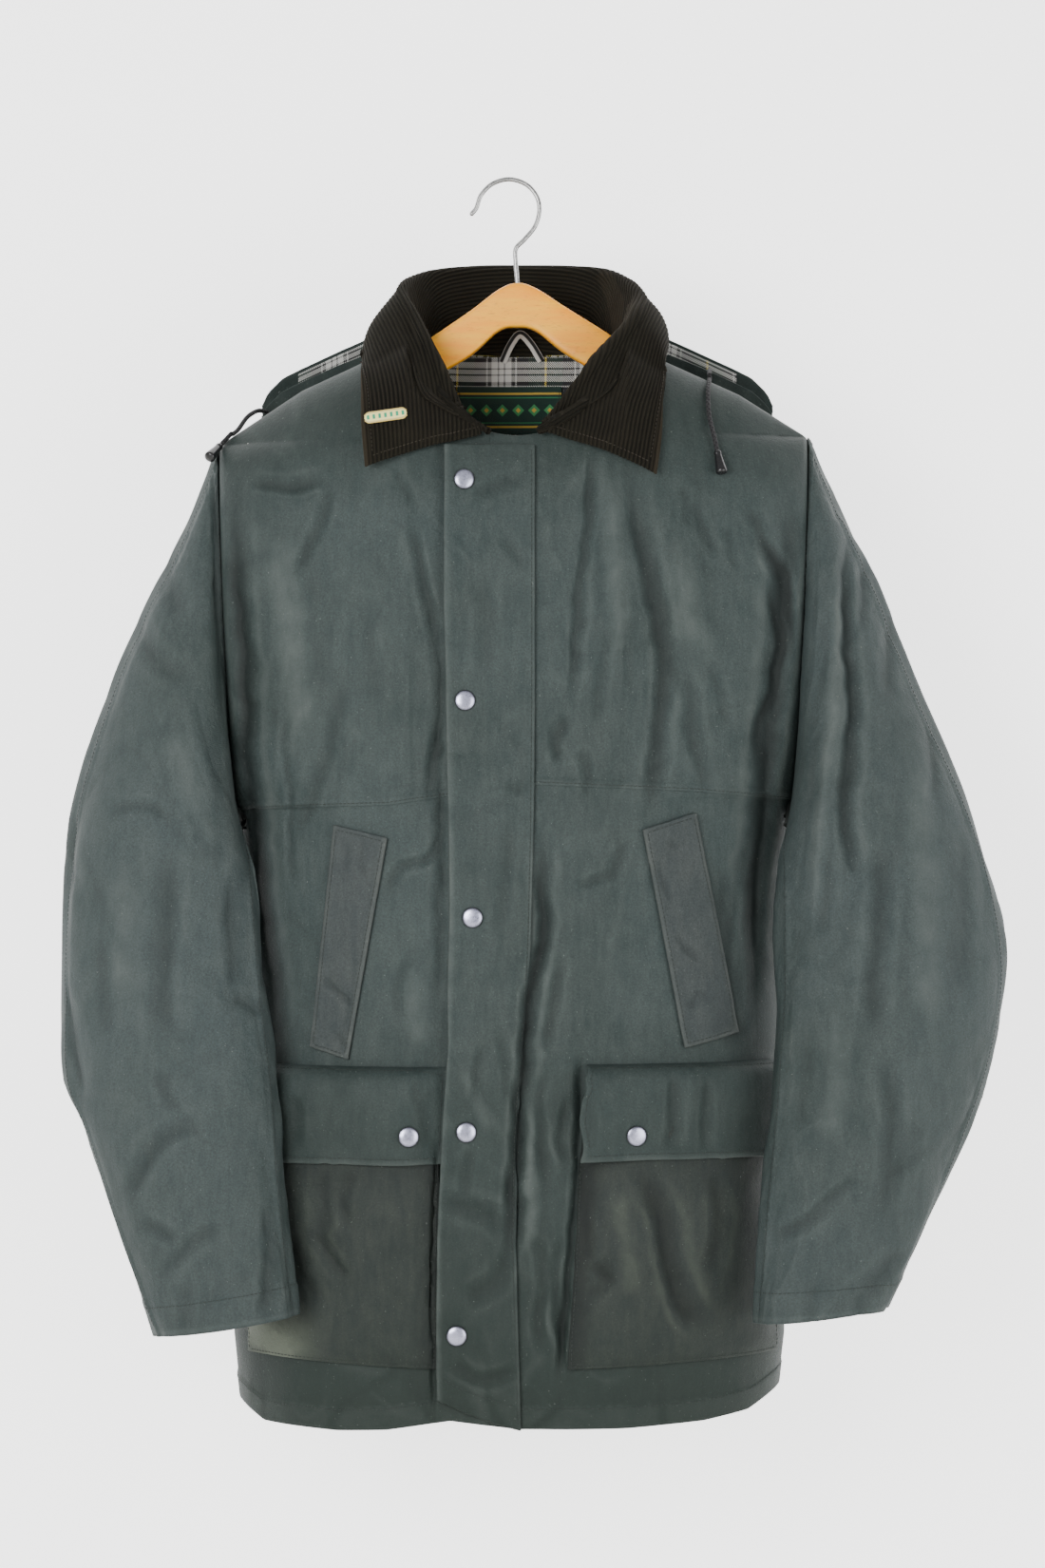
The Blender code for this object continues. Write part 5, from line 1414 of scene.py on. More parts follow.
# %% Storm fly
FLY_TOP, FLY_ROWS, FLY_COLUMNS = -203, 278, 30
FLY = [(FLY_TOP, -46, 18), (-392, -45, 18), (-488, -42, 17), (-570, -42, 15), (-639, -44, 10),
       (-708, -48, 5), (-780, -52, 4), (-918, -51, 8)]    # z, free edge x, stitched edge x
FLY_BOTTOM = [(-52, -895), (-33, -904), (-14, -911), (8, -917.5)]
FLY_SNAPS = [(-32, -229), (-32, -390), (-26, -546), (-31, -702), (-38, -848)]
FLY_FOLDS = from_frame([
    (1.6, 8, 6, (495, 520), (530, 506), (560, 500)),
    (1.5, 6, 6, (527, 560), (540, 578), (558, 596)),
    (1.5, 9, 9, (505, 600), (512, 660), (506, 720)),
    (2, 8, 6, (541, 850), (536, 900), (530, 950), (520, 985)),
    (1.5, 6, 6, (533, 825), (545, 830), (556, 822)),
    (2, 6, 6, (512, 1095), (502, 1135), (497, 1170)),
    (1.8, 5, 5, (524, 1080), (534, 1120), (538, 1170)),
    (-2, 7, 7, (486, 1120), (500, 1160), (520, 1190)),
    (2.5, 9, 12, (461, 1268), (490, 1272), (520, 1282), (535, 1300)),
    (2.5, 9, 9, (534, 1310), (524, 1346), (502, 1361), (488, 1366)),
    (2, 7, 7, (470, 1430), (492, 1445), (520, 1450), (548, 1440)),
    (2, 6, 5, (500, 1210), (493, 1240), (490, 1262)),
], FLY_PLANE)
even = np.linspace(0, 1, FLY_ROWS)[:, None]
share = np.linspace(0, 1, FLY_COLUMNS)[None, :]
bottom_x = FLY_BOTTOM[0][0] + (FLY_BOTTOM[-1][0] - FLY_BOTTOM[0][0]) * share
z = FLY_TOP + (column(FLY_BOTTOM, bottom_x, 1) - FLY_TOP) * even
free, stitched = column(FLY, z, 1), column(FLY, z, 2)
x = free + (stitched - free) * share + 1.2 * ruffle(z, 0 * z, 60, 21) * (1 - share)
gap_to_snap = np.min([np.abs(z - snap_z) for _, snap_z in FLY_SNAPS], axis=0)
between = smoothstep(gap_to_snap / 60)
fullest = (z < -430) & (z > -580)
stand_off = 3.6 + (1 - share) ** 2 * (2.6 + 3.4 * between * (0.6 + 0.6 * fullest))
depth, wear = folds(x, z, FLY_FOLDS)
band = 0.5 * seam_band(x - free, 7.0)
pucker = puckers(z, stitched - x - 1.4, 23)
over_flap = smoothstep((-640 - z) / 16) * smoothstep((z + 738) / 16)
lift = stand_off + band + pucker + 0.8 * ruffle(x, z, 26, 24) - depth
lift = lift + 3.5 * over_flap * (1 - share) ** 2
points = np.stack([x, body_y(x, z, True) - lift, z], axis=-1)
wear = wear + 0.5 * (1 - smoothstep((x - free) / 4)) + 0.25 * (1 - smoothstep((stitched - x) / 4))
sewn("fly_flap", "storm_fly", points, DOUBLED, WAXED, wear=wear + relief(x, z, True)[1])
print("storm fly:", points.shape[0], "by", points.shape[1], "points")

# %% [markdown]
# ## Pockets
#
# Two slanted welts mark the hand-warmer pockets, and two flapped bellows pockets hang below them. A
# bellows bag is low where it is sewn down and stands 10 mm prouder in the middle, so it swells as one
# less a high power of the distance from its middle. The flap starts flat on the front and comes clear
# of the bag within a third of its drop. Each patch is worked out by two parts: down, from its top, and
# over, from its edge near the centre front.

# %% Pockets
# x, z of the upper and lower ends of the near edge, then of the far edge
WELTS = {"right": ((-89, -490), (-117, -649), (-126, -481), (-143, -641)),
         "left": ((98, -484), (128, -641), (135, -472), (166, -631))}
POCKET_BAGS = {"right": ((-49, -672), (-51, -873), (-188, -672), (-190, -867)),
               "left": ((57, -668), (43, -873), (190, -668), (196, -867))}
POCKET_FLAPS = {"right": ((-44, -655), (-47, -724), (-186, -655), (-188, -724)),
                "left": ((57, -653), (55, -721), (193, -653), (193, -721))}
FLAP_SNAPS = {"right": (-73, -704), "left": (93, -704)}
PALE_CORNER = (-174, -857)      # where the right bag is rubbed pale
# The folds of each patch, by its name
PATCH_FOLDS = {name: from_frame(rows, POCKET_PLANE) for name, rows in {
    "right_welt": [
        (2, 3, 3, (336, 1028), (354, 1042), (374, 1060)),
        (1.2, 3, 3, (360, 880), (366, 900), (364, 930)),
        (1.2, 3, 3, (382, 876), (380, 905), (388, 930)),
        (1.2, 4, 4, (346, 1088), (358, 1096), (370, 1108)),
    ],
    "left_welt": [
        (1.2, 3, 3, (694, 900), (700, 930), (708, 950)),
        (2, 4, 4, (712, 985), (724, 1000), (742, 1010)),
        (1.6, 4, 4, (724, 1062), (736, 1050), (748, 1052)),
        (1.2, 3, 3, (700, 880), (712, 890), (722, 886)),
    ],
    "right_bag": [
        (2.5, 6, 6, (338, 1296), (352, 1322), (368, 1348)),
        (2, 8, 8, (352, 1230), (346, 1270), (340, 1310)),
        (2, 7, 7, (372, 1230), (366, 1260), (372, 1300)),
        (2.5, 9, 9, (300, 1290), (322, 1330), (340, 1380)),
    ],
    "left_bag": [
        (5, 9, 14, (662, 1222), (686, 1270), (700, 1330), (714, 1375), (738, 1404)),
        (2, 5, 5, (618, 1330), (632, 1340), (646, 1356)),
        (2, 6, 6, (612, 1240), (618, 1290), (612, 1340)),
        (3, 8, 8, (742, 1230), (750, 1290), (744, 1350)),
        (2.5, 7, 7, (622, 1368), (634, 1350), (628, 1320)),
        (-2.5, 10, 10, (640, 1240), (656, 1300), (664, 1370)),
    ],
    "right_flap": [
        (2, 6, 6, (318, 1150), (322, 1180), (316, 1215)),
        (1.5, 5, 5, (440, 1130), (446, 1165), (452, 1215)),
    ],
    "left_flap": [
        (3, 5, 7, (706, 1128), (704, 1170), (700, 1218)),
        (2.5, 5, 5, (738, 1128), (736, 1170), (733, 1218)),
        (2, 4, 5, (616, 1128), (617, 1170), (616, 1220)),
    ],
}.items()}


def patch(name, node, side, corners, rows, columns, lift, wall, material):
    """A four-cornered patch on a front. The lift is a function of the parts down and over and of the
    distances in mm to the nearest side and to the bottom."""
    down = np.linspace(0, 1, rows)[:, None, None]
    over = np.linspace(0, 1, columns)[None, ::side, None]
    near_top, near_low, far_top, far_low = (np.array(corner, float) for corner in corners)
    near = near_top + (near_low - near_top) * down
    far = far_top + (far_low - far_top) * down
    places = near + (far - near) * over
    x, z = places[..., 0], places[..., 1]
    down, over = down[..., 0] + 0 * x, over[..., 0] + 0 * x
    width = np.linalg.norm(far - near, axis=-1)
    to_side = np.minimum(over, 1 - over) * width
    to_bottom = (1 - down) * np.linalg.norm(near_low - near_top)
    depth, wear = folds(x, z, PATCH_FOLDS[name])
    wavy = 0.7 * ruffle(x, z, 24, len(name) + side) + 0.35 * ruffle(x, z, 11, len(name) + 4)
    inside = smoothstep(np.minimum(to_side, to_bottom) / 8)
    points = on_body(x, z, lift(down, over, to_side, to_bottom) + (wavy - depth) * (0.3 + 0.7 * inside))
    is_bag = material == BAGS_IN_PAINTED_SHADE
    at_edge = 1 - smoothstep(np.minimum(to_side, to_bottom) / 3.5)
    rubbed_and_shaded = wear + (0.1 if is_bag else 0.4) * at_edge
    if is_bag:
        # Painted shade: the bag is darkened beside the fly and under its flap
        beside_fly, under_flap = 1 - smoothstep(over * width / 20), 1 - smoothstep((down - 0.2) / 0.25)
        rubbed_and_shaded -= 0.9 * beside_fly + 0.5 * under_flap
        rubbed_and_shaded += 2.4 * np.exp(-((x - PALE_CORNER[0]) / 24) ** 2 - ((z - PALE_CORNER[1]) / 18) ** 2)
    return sewn(name, node, points, wall, material, wear=rubbed_and_shaded)


WELT_LENGTH, BAG_WIDTH, FLAP_DROP = 155, 135, 69


def welt_lift(down, over, to_side, to_bottom):
    to_end = np.minimum(down, 1 - down) * WELT_LENGTH
    edge = seam_band(np.minimum(to_side, to_end), 3.5)
    return 2.8 + 0.8 * edge + 0.7 * puckers(to_bottom, to_side - 3.5, 71, 5)


def bag_lift(down, over, to_side, to_bottom):
    """One less a power of the distance from the middle line and of that from the top, so it falls
    towards its three seams. It is rounder beside the fly."""
    swell = (1 - np.abs(2 * over - 1) ** np.where(over < 0.5, 3.0, 6)) * (1 - down ** 6)
    at_sides, at_bottom = puckers(to_bottom, to_side, 72), puckers(over * BAG_WIDTH, to_bottom, 73)
    return 3.4 + 10.2 * swell + 0.8 * at_sides + 0.8 * at_bottom


def flap_lift(down, over, to_side, to_bottom):
    """Flat under its top stitching, then clear of the bag. Its lower corners curl out a little."""
    clear = 3.0 + 13.3 * quarter_round(down * 3.2) - 1.2 * (1 - smoothstep(down * 9))
    curl = 2.2 * down ** 2 * np.abs(2 * over - 1) ** 3
    edge = 0.5 * seam_band(np.minimum(to_side, to_bottom), 6.0)
    return clear + curl + edge + 0.6 * puckers(over * BAG_WIDTH, down * FLAP_DROP - 9, 74)


def lapped_flap_lift(down, over, to_side, to_bottom):
    """The wearer's right flap comes down to the front where the fly laps over its end."""
    beside_fly = smoothstep(over * 136 / 26)
    return flap_lift(down, over, to_side, to_bottom) * (0.25 + 0.75 * beside_fly)


for word, side in SIDES.items():
    # The wall is in mm. A welt is cloth folded over and pressed, and a flap is two layers
    for kind, node, corners, rows, columns, lift, wall, material in (
            ("welt", "welt", WELTS, 72, 20, welt_lift, 2.4, FADED),
            ("bag", "pocket_bag", POCKET_BAGS, 80, 58, bag_lift, SINGLE, BAGS_IN_PAINTED_SHADE),
            ("flap", "pocket_flap", POCKET_FLAPS, 32, 58,
             lapped_flap_lift if side < 0 else flap_lift, 2.0, WAXED)):
        patch(f"{word}_{kind}", f"{node}_{word}", side, corners[word], rows, columns, lift, wall,
              material)
print("pockets:", [row[0] for row in cut_list[-6:]])

# %% [markdown]
# ## Snaps and pin
#
# A snap cap is turned: a shallow dome over a rounded rim. Each one is set on the cloth where it goes,
# along the normal of the nearest point of that cloth's grid. The enamel pin is set on the leaf of the
# collar in the same way.

# %% Snaps and pin
SNAP_PROFILE = [(0.5, 0), (6.9, 0), (7.4, 0.25), (7.55, 0.7), (7.4, 1.1), (6.9, 1.5), (6.0, 1.9),
                (4.8, 2.25), (3.4, 2.48), (2.0, 2.59), (1.0, 2.62), (0.3, 2.63)]
PIN_AT, PIN_TILT, PIN_HALF = (-90.0, -182.0), math.radians(8), (15, 4)


def spot_on(grid, x, z):
    """The point of a grid nearest to a place seen from the front, and its normal."""
    away = np.hypot(grid[..., 0] - x, grid[..., 2] - z) + 1000 * (grid[..., 1] > 0)
    row, column_number = np.unravel_index(away.argmin(), away.shape)
    return grid[row, column_number], normals_of(grid)[row, column_number]


def snap(name, node, grid, x, z):
    at, normal = spot_on(grid, x, z)
    return settle(turned(name, SNAP_PROFILE, at + normal * 0.1, normal, PEWTER, 36), node)


for number, (x, z) in enumerate(FLY_SNAPS, 1):
    snap(f"fly_cap_{number}", f"fly_snap_{number}", grids["fly_flap"], x, z)
for word in SIDES:
    snap(f"{word}_flap_cap", f"flap_snap_{word}", grids[f"{word}_flap"], *FLAP_SNAPS[word])

at, normal = spot_on(grids["corduroy_collar"], *PIN_AT)
level = unit(np.cross([0, 0, 1.0], normal))
first = level * math.cos(PIN_TILT) + np.cross(normal, level) * math.sin(PIN_TILT)
second = np.cross(normal, first)
a, b = np.linspace(-1, 1, 41)[None, :, None], np.linspace(1, -1, 15)[:, None, None]
narrowed = b * (1 - 0.5 * np.abs(a) ** 14)
dome = 0.35 * (1 - a ** 6) * (1 - b ** 6)
points = at + normal * (2.6 + dome) + first * a * PIN_HALF[0] + second * narrowed * PIN_HALF[1]
flat = np.concatenate([a + 0 * b, b + 0 * a], axis=-1) / 2 + 0.5
settle(cloth("bar_pin", points, 1.6, ENAMEL, flat=flat), "collar_pin")
top_snap = spot_on(grids["fly_flap"], *FLY_SNAPS[0])[0]
print("snaps and pin are on; the top snap is at", [round(float(v)) for v in top_snap])

# %% [markdown]
# ## Hood
#
# The hood is turned down behind the neck and lies open, like an empty bag: a rear layer, a fold at the
# bottom and a front layer against the back. What shows from the front is its rim, which rises beside
# the collar on both sides and is gathered by its cord. Its lining follows 2.6 mm inside.

# %% Hood
HOOD_HALF, HOOD_LOW, HOOD_RISE = 194, -415, 190     # half width, lowest z, rise to the sides
HOOD_INSET, RIM_CHANNEL = 2.6, 15.0
REAR_ROWS, TURN_ROWS, FRONT_ROWS = 84, 18, 60
# x from the middle, z of the rear rim, z of the front rim
HOOD_RIM = [(0, -128, -133), (45, -126, -134), (70, -117, -143), (94, -109, -143), (114, -109, -124),
            (137, -120, -133), (159, -131, -143), (178, -141, -152), (190, -153, -163),
            (196, -167, -175)]
HOOD_FOLDS = [
    (6, 10, 14, (-110, -140), (-96, -200), (-70, -270), (-40, -330)),
    (6, 12, 10, (116, -140), (100, -190), (80, -260), (50, -320)),
    (5, 12, 12, (-10, -140), (-16, -200), (-6, -260), (-14, -330)),
    (4.5, 9, 11, (48, -140), (40, -200), (34, -250)),
    (4, 9, 9, (-60, -140), (-50, -190), (-44, -240)),
    (4, 9, 9, (-150, -160), (-130, -220), (-100, -290), (-80, -340)),
    (4, 9, 9, (160, -170), (140, -230), (110, -300), (84, -350)),
    (-4, 18, 18, (20, -220), (30, -290), (20, -360)),
    (-4, 16, 16, (-90, -170), (-70, -240), (-40, -300)),
    (3, 7, 7, (-60, -370), (-10, -380), (40, -374), (80, -356)),
]


def hood_points(a, inset):
    """Down the rear layer, round the bottom and up the front layer, at parts a across the hood."""
    x = MID_X + HOOD_HALF * a[None, :]
    away = np.abs(HOOD_HALF * a)[None, :]
    out = np.abs(a)[None, :]
    rear_rim, front_rim = column(HOOD_RIM, away, 1) - inset, column(HOOD_RIM, away, 2) - inset
    slope = 2.6 * HOOD_RISE / HOOD_HALF * out ** 1.6
    bottom = HOOD_LOW + HOOD_RISE * out ** 2.6 + inset * np.hypot(1, slope)
    depth = 5 + 42 * (1 - out ** 2.2) - 2 * inset
    near = 52 + inset
    part = np.linspace(0, 1, REAR_ROWS)[:, None]
    rear = [near + depth * (0.8 + 0.2 * np.sin(math.pi / 2 * part)),
            rear_rim + (bottom + depth / 2 - rear_rim) * part]
    turn = np.linspace(0, math.pi, TURN_ROWS)[1:-1, None]
    low = [near + depth / 2 * (1 + np.cos(turn)), bottom + depth / 2 * (1 - np.sin(turn))]
    part = np.linspace(0, 1, FRONT_ROWS)[:, None]
    front = [near + 0 * part * depth, bottom + depth / 2 + (front_rim - bottom - depth / 2) * part]
    y = np.vstack([rear[0], low[0], front[0]])
    return np.stack([x + 0 * y, y, np.vstack([rear[1], low[1], front[1]])], axis=-1)


def hood_layer(name, node, a, inset, wall, material):
    """A layer of the hood. Gathers along the rim are short waves that fade within 30 mm. The lining's
    flat map is shifted, so that a white group of its check lies along the rim."""
    points = hood_points(a, inset)
    x, z = points[..., 0], points[..., 2]
    depth, wear = folds(x, z, HOOD_FOLDS)
    rear = np.linspace(0, 1, len(points))[:, None] < 0.5
    edge = np.minimum(np.arange(len(points)), np.arange(len(points))[::-1])[:, None] * 3.0
    gather = 1.1 * np.sin(x / 3.1 + 2 * ruffle(x, 0 * x, 26, 31)) * np.exp(-np.abs(edge - 16) / 12)
    height, rubbed_and_shaded = crumple(x, z, 33)
    channel = seam_band(edge, RIM_CHANNEL)
    thin = smoothstep((1 - np.abs(a)[None, :]) * 9)
    lift = (np.where(rear, height * 1.5 - depth, 0.3 * height) + gather) * thin + channel
    points = points + normals_of(points) * (lift - (0 if inset == 0 else 0.4))[..., None]
    shift = np.array([0.0215, -0.0295]) if material == TARTAN else 0
    flat = flat_map(points) + shift
    return sewn(name, node, points, wall, material, wear=wear * rear + rubbed_and_shaded, flat=flat)


hood_layer("hood_outside", "hood_shell", np.linspace(1, -1, 128), 0.0, SINGLE, WAXED)
hood_layer("hood_inside", "hood_lining", np.linspace(0.857, -0.857, 96), HOOD_INSET, THIN, TARTAN)
print("hood:", [row[0] for row in cut_list[-2:]])

# %% [markdown]
# ## Inside the neck
#
# Through the neck we look at the back of the lining: a piece of tartan, the plain woven label sewn
# on it along all four sides, and a loop of striped tape to hang the jacket by.

# %% Neck lining, label and loop
LINING_LOW = -252
LABEL_HALF, LABEL_TOP, LABEL_LOW = 39, -150, -185
x = np.linspace(-54, 66, 56)[None, :] + np.zeros((70, 1))
top = top_z(x, False) - 2
z = top + (LINING_LOW - top) * np.linspace(0, 1, 70)[:, None]
buckle = 0.5 * ruffle(x, z, 30, 51) + 0.25 * ruffle(x, z, 13, 52)
lining = on_body(x, z, 5.2 + buckle, False)
lining[..., 1] = np.minimum(lining[..., 1], plain_y(x, z, False) - 4.2)
flat = flat_map(lining) + np.array([0.0465, -0.023])
sewn("tartan_neck", "neck_lining", lining, THIN, TARTAN, flat=flat)

x = np.linspace(-LABEL_HALF, LABEL_HALF, 60)[None, :] + np.zeros((30, 1))
z = np.linspace(LABEL_TOP, LABEL_LOW, 30)[:, None] + 0 * x
inner = np.minimum(np.abs(np.abs(x) - LABEL_HALF), np.minimum(LABEL_TOP - z, z - LABEL_LOW))
puff = 0.8 * smoothstep(inner / 5) + 0.35 * ruffle(x, z, 18, 53) * smoothstep(inner / 4)
label = on_body(x, z, 0, False)
label[..., 1] = np.minimum(label[..., 1] - 7.2, plain_y(x, z, False) - 6.8) - puff
sewn("plain_label", "neck_label", label, 0.7, LABEL)

middle = evenly([(-5, -131), (1, -118), (8, -110), (16, -117), (24, -130)], 60)
run = unit(np.gradient(middle, axis=0))
side_ways = np.stack([-run[:, 1], run[:, 0]], axis=1)
share = np.linspace(2.5, -2.5, 9)[:, None, None]
flat_place = middle[None] + side_ways[None] * share
y = plain_y(flat_place[..., 0], np.full(flat_place.shape[:2], -135.0), False) - 7.0
loop = np.stack([flat_place[..., 0], y, flat_place[..., 1]], axis=-1)
settle(cloth("tape_loop", loop, THIN, TAPE), "hang_loop")
print("inside the neck:", [row[0] for row in cut_list[-2:]], "and the loop")

# %% [markdown]
# ## Hanger and hook
#
# The hanger is one board of beech with rounded edges. Its outline is an upper and a lower line along
# its length. Each section across it is a rounded rectangle: a circle whose sine and cosine are raised
# to a low power. The hook is a bent steel wire that goes into the top of the board.

# %% Hanger and hook
# x, z of the upper line, z of the lower line
HANGER = [(-209, -198.5, -209), (-202, -193.4, -217), (-154, -159.8, -189), (-115, -142.8, -173),
          (-75, -126.2, -156), (-64, -120.4, -150), (-30, -97.5, -131), (-8, -81, -112), (6, -76, -109),
          (20, -80, -112), (42, -94, -129), (76, -115.4, -149), (83, -124, -154), (91, -128.6, -159),
          (113, -137.6, -169), (171, -163, -193), (209, -186.8, -213), (215, -192.5, -205)]
BOARD_HALF, WIRE_RADIUS = 6.5, 1.75
HOOK = [(-28, -24), (-24.5, -19.5), (-21, -10), (-12.5, -1.6), (0, 1.75), (12.5, -2), (20.5, -11),
        (22.5, -21.5), (19.5, -33), (11.5, -43), (5, -50), (4.8, -60), (6, -75.2)]
line = evenly(HANGER, 200)
middle, half = (line[:, 1] + line[:, 2]) / 2, (line[:, 1] - line[:, 2]) / 2
turn = np.linspace(0, TURN, 44, endpoint=False)
squared = [np.sign(wave) * np.abs(wave) ** 0.34 for wave in (np.sin(turn), np.cos(turn))]
end = np.minimum(line[:, 0] - HANGER[0][0], HANGER[-1][0] - line[:, 0])
thin = BOARD_HALF * np.sqrt(smoothstep(end / 6 + 0.12))
rings = np.stack(np.broadcast_arrays(line[:, 0, None], -thin[:, None] * squared[1],
                                     middle[:, None] + half[:, None] * squared[0]), axis=-1)
settle(skin("beech_hanger", rings[:, ::-1], WOOD), "hanger")
wire = evenly([(x, 0, z) for x, z in HOOK] + [(6, 0, -82)], 120)
settle(tube("wire_hook", wire, WIRE_RADIUS, WIRE, 18), "hanger_hook")
print("hanger:", round(float(np.ptp(line[:, 0]))), "mm wide")

# %% [markdown]
# ## Stitching
#
# Stitching is what tells the eye that cloth is sewn. Each stitch is a short capsule of thread laid
# along a line at a fixed distance in from one edge of a piece. The line is found on the piece's own
# grid, so it goes up and down with every pucker. All the stitches of one part of the jacket are one
# mesh: the same small capsule, placed by whole arrays.

# %% Stitching
SIDES_OF_STITCH = 5
number = np.arange(SIDES_OF_STITCH)
turn = np.radians(number * 360 / SIDES_OF_STITCH)
ring = [[0.0 * turn + end, 0.3 * np.cos(turn), 0.24 * np.sin(turn)] for end in (-0.75, 0.75)]
STITCH = np.vstack([[-1.3, 0, 0], np.transpose(ring[0]), np.transpose(ring[1]), [1.3, 0, 0]])
near, far = number + 1, number + 1 + SIDES_OF_STITCH
next_near, next_far = np.roll(near, -1), np.roll(far, -1)
STITCH_ENDS = np.concatenate([np.stack([0 * near, next_near, near], axis=1),
                              np.stack([0 * far + len(STITCH) - 1, far, next_far], axis=1)])
STITCH_SIDES = np.stack([near, next_near, next_far, far], axis=1)
STITCH_RISE = 0.14


def inset_line(name, edge, inset, trim=0.0):
    """Points and normals at a distance in from an edge of a piece, without the trimmed ends."""
    grid = grids[name]
    normal = normals_of(grid)
    if edge in ("left", "right"):
        grid, normal = grid.swapaxes(0, 1), normal.swapaxes(0, 1)
    if edge in ("bottom", "right"):
        grid, normal = grid[::-1], normal[::-1]
    run = run_length(grid)
    row, place = np.clip((run <= inset).sum(0) - 1, 0, len(grid) - 2), np.arange(grid.shape[1])
    low, high = run[row, place], run[row + 1, place]
    part = ((inset - low) / (high - low))[:, None]
    line, facing = (values[row, place] * (1 - part) + values[row + 1, place] * part
                    for values in (grid, normal))
    facing = unit(facing)
    length = run_length(line)
    keep = (length >= trim) & (length <= length[-1] - trim)
    return line[keep], facing[keep]


def stitches_along(line, facing, pitch):
    """Places, directions and normals of stitches at an even pitch along a line."""
    length = run_length(line)
    at = np.arange(pitch / 2, length[-1], pitch)
    place, ahead, normal = (
        np.stack([np.interp(where, length, values[:, k]) for k in range(3)], axis=-1)
        for where, values in ((at, line), (at + 0.4, line), (at, facing)))
    normal, run = unit(normal), unit(ahead - place + 1e-6)
    return place, run, unit(np.cross(np.cross(run, normal), run))


def sew(name, lines, material, pitch):
    """One mesh of stitches along several lines. A line is a piece, its edge, the distance in from it
    and the length left out at both ends."""
    place, run, normal = (np.concatenate(block) for block in zip(*(
        stitches_along(*inset_line(*line), pitch) for line in lines)))
    aside = np.cross(normal, run)
    points = place[:, None] + (STITCH[:, 0, None] * run[:, None] + STITCH[:, 1, None] * aside[:, None]
                               + (STITCH[:, 2, None] + STITCH_RISE) * normal[:, None])
    start = len(STITCH) * np.arange(len(place))[:, None, None]
    faces = [(STITCH_SIDES + start).reshape(-1, 4), (STITCH_ENDS + start).reshape(-1, 3)]
    settle(make_mesh(name, points.reshape(-1, 3), faces, [material]))
    return len(place)


def all_round(name, inset):
    return [(name, edge, inset, inset) for edge in ("top", "bottom", "left", "right")]


def on_both(rows):
    """The same lines on the right piece and the left one."""
    return [(f"{word}_{name}", *rest) for word in SIDES for name, *rest in rows]


# Each mesh of stitches: its lines, its thread and the length from one stitch to the next
STITCHING = {
    "fly": ([("fly_flap", "right", 1.4, 2.0), ("fly_flap", "bottom", 16.0, 4.0)], THREAD, 3.2),
    "body": ([("back_panel", "bottom", 14.4, 0.0), *on_both([
        ("upper_front", "bottom", 1.6, 0.0), ("lower_front", "bottom", 14.4, 0.0)])], THREAD, 3.2),
    "sleeve": (on_both([
        ("sleeve_top", "bottom", 21.5, 0.0), ("sleeve_under", "bottom", 21.5, 0.0),
        ("sleeve_top", "left", 1.8, 8.0), ("sleeve_top", "right", 1.8, 8.0),
        ("sleeve_top", "top", 1.8, 2.0), ("sleeve_under", "top", 1.8, 2.0)]), THREAD, 3.2),
    "pocket": (on_both([
        *all_round("welt", 2.0),
        ("flap", "top", 6.6, 1.0), ("flap", "left", 3.5, 7.0), ("flap", "right", 3.5, 7.0),
        ("flap", "bottom", 3.5, 3.5), ("bag", "left", 1.6, 1.6), ("bag", "right", 1.6, 1.6),
        ("bag", "bottom", 1.6, 1.6)]), THREAD, 3.2),
    "hood": ([("hood_outside", edge, RIM_CHANNEL, 6.0) for edge in ("top", "bottom")], THREAD, 3.2),
    "collar": ([("corduroy_collar", "bottom", 6.0, 6.0), ("corduroy_collar", "left", 5.0, 6.0),
                ("corduroy_collar", "right", 5.0, 6.0)], BROWN_THREAD, 3.2),
    "label": (all_round("plain_label", 1.3), THREAD, 2.4),
}
total = sum(sew(f"{name}_stitching", *rest) for name, rest in STITCHING.items())
print("stitches:", total)

# %% [markdown]
# ## The room
#
# A pale floor and a pale wall behind the jacket, neither of which is part of it. The wall glows a
# little, as a backdrop with its own lamps does. It lets light and the eye through from behind, so the
# back of the jacket can be looked at too. A soft light stands at the front left, level with the chest
# and near enough that the shoulders and the hem fall off in light. A wide weak one fills from the
# right, and two at the back keep the rear views bright.

# %% Room and lights
WHITE = (1, 1, 1, 1)
ROOM_HALF, FLOOR, CEILING, WALL_BEHIND = 6, -1.3, 3, 0.16     # in metres


def plain_paint(name, colour):
    """Matt paint with a slight unevenness."""
    material = new_material(name, 0.85)
    cloud = noise(place_in(material), 3.0)
    feed(principled(material), {"Base Color": blend(cloud, colour, shade(colour, 0.985))})
    return material


def sheet_of_room(name, corners, material):
    points = np.array(corners, float) / MM
    make_mesh(name, points, [np.array([[0, 1, 2, 3]])], [material])


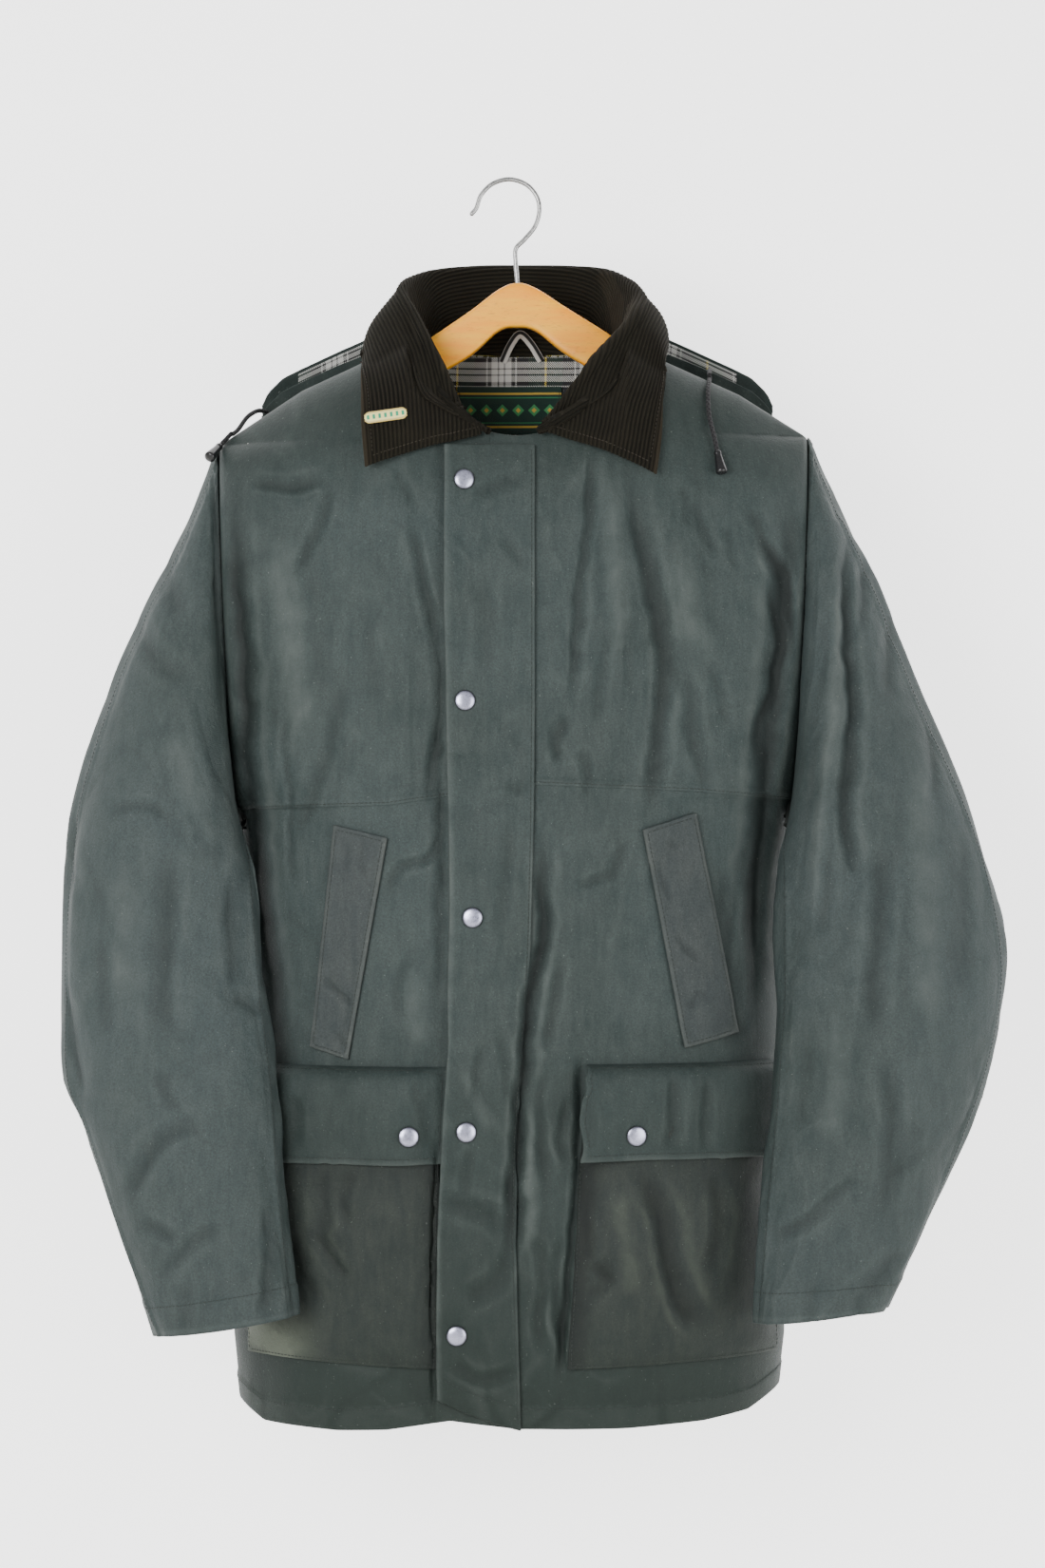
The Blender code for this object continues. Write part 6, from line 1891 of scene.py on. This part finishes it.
floor_paint = plain_paint("pale floor", (0.62, 0.61, 0.58, 1))
wall_paint = plain_paint("pale wall", (0.9, 0.9, 0.905, 1))
tree, shader = wall_paint.node_tree, principled(wall_paint)
feed(shader, {"Emission Color": WHITE, "Emission Strength": 2.0})
behind, clear = add(tree, "NewGeometry").outputs["Backfacing"], add(tree, "BsdfTransparent").outputs[0]
either = add(tree, "MixShader", {0: behind, 1: shader.outputs[0], 2: clear}).outputs[0]
feed(tree.nodes["Material Output"], {"Surface": either})
sheet_of_room("floor", [(ROOM_HALF * x, ROOM_HALF * y, FLOOR) for x, y in (
    (-1, -1), (1, -1), (1, 1), (-1, 1))], floor_paint)
sheet_of_room("wall", [(ROOM_HALF * x, WALL_BEHIND, z) for x, z in (
    (-1, FLOOR), (1, FLOOR), (1, CEILING), (-1, CEILING))], wall_paint)


def soft_light(name, place, target, size, watts):
    """A square area light that faces a target."""
    data = bpy.data.lights.new(name, "AREA")
    data.size, data.energy = size, watts
    thing = bpy.data.objects.new(name, data)
    thing.location = place
    away = np.array(place) - np.array(target)
    level = math.hypot(away[0], away[1])
    turn = math.atan2(away[1], away[0]) + math.pi / 2
    thing.rotation_euler = (math.atan2(level, away[2]), 0, turn)
    bpy.context.scene.collection.objects.link(thing)


soft_light("key", (-1.0, -1.9, -0.15), (0, 0, -0.5), 1.2, 48)
soft_light("fill", (1.6, -1.6, -0.6), (0.1, 0, -0.55), 1.5, 31)
soft_light("back left", (-1.6, 2.6, 0.9), (0, 0, -0.45), 1.8, 26)
soft_light("back right", (1.9, 2.2, 0.2), (0, 0, -0.5), 2.0, 14)
world = bpy.data.worlds.new("room light")
bpy.context.scene.world = world
world.use_nodes = True
feed(world.node_tree.nodes["Background"], {"Color": WHITE, "Strength": 0.48})

# %% [markdown]
# ## Sizes
#
# The cut list gives the flat size of every piece of cloth, as a pattern cutter would need it. The
# visual model has to stay in the box of the plain solids, apart from what soft cloth stands proud.

# %% Sizes and finish
for name, width, length, area in cut_list:
    print(f"{name}: {1000 * width:.0f} x {1000 * length:.0f} mm, {10000 * area:.0f} cm2")
print("cloth in all:", round(sum(row[3] for row in cut_list), 2), "m2")
triangles = sum(len(thing.data.polygons) * 2 for thing in bpy.data.objects
                if thing.type == "MESH" and not thing.hide_render)
print("triangles, at most:", triangles)
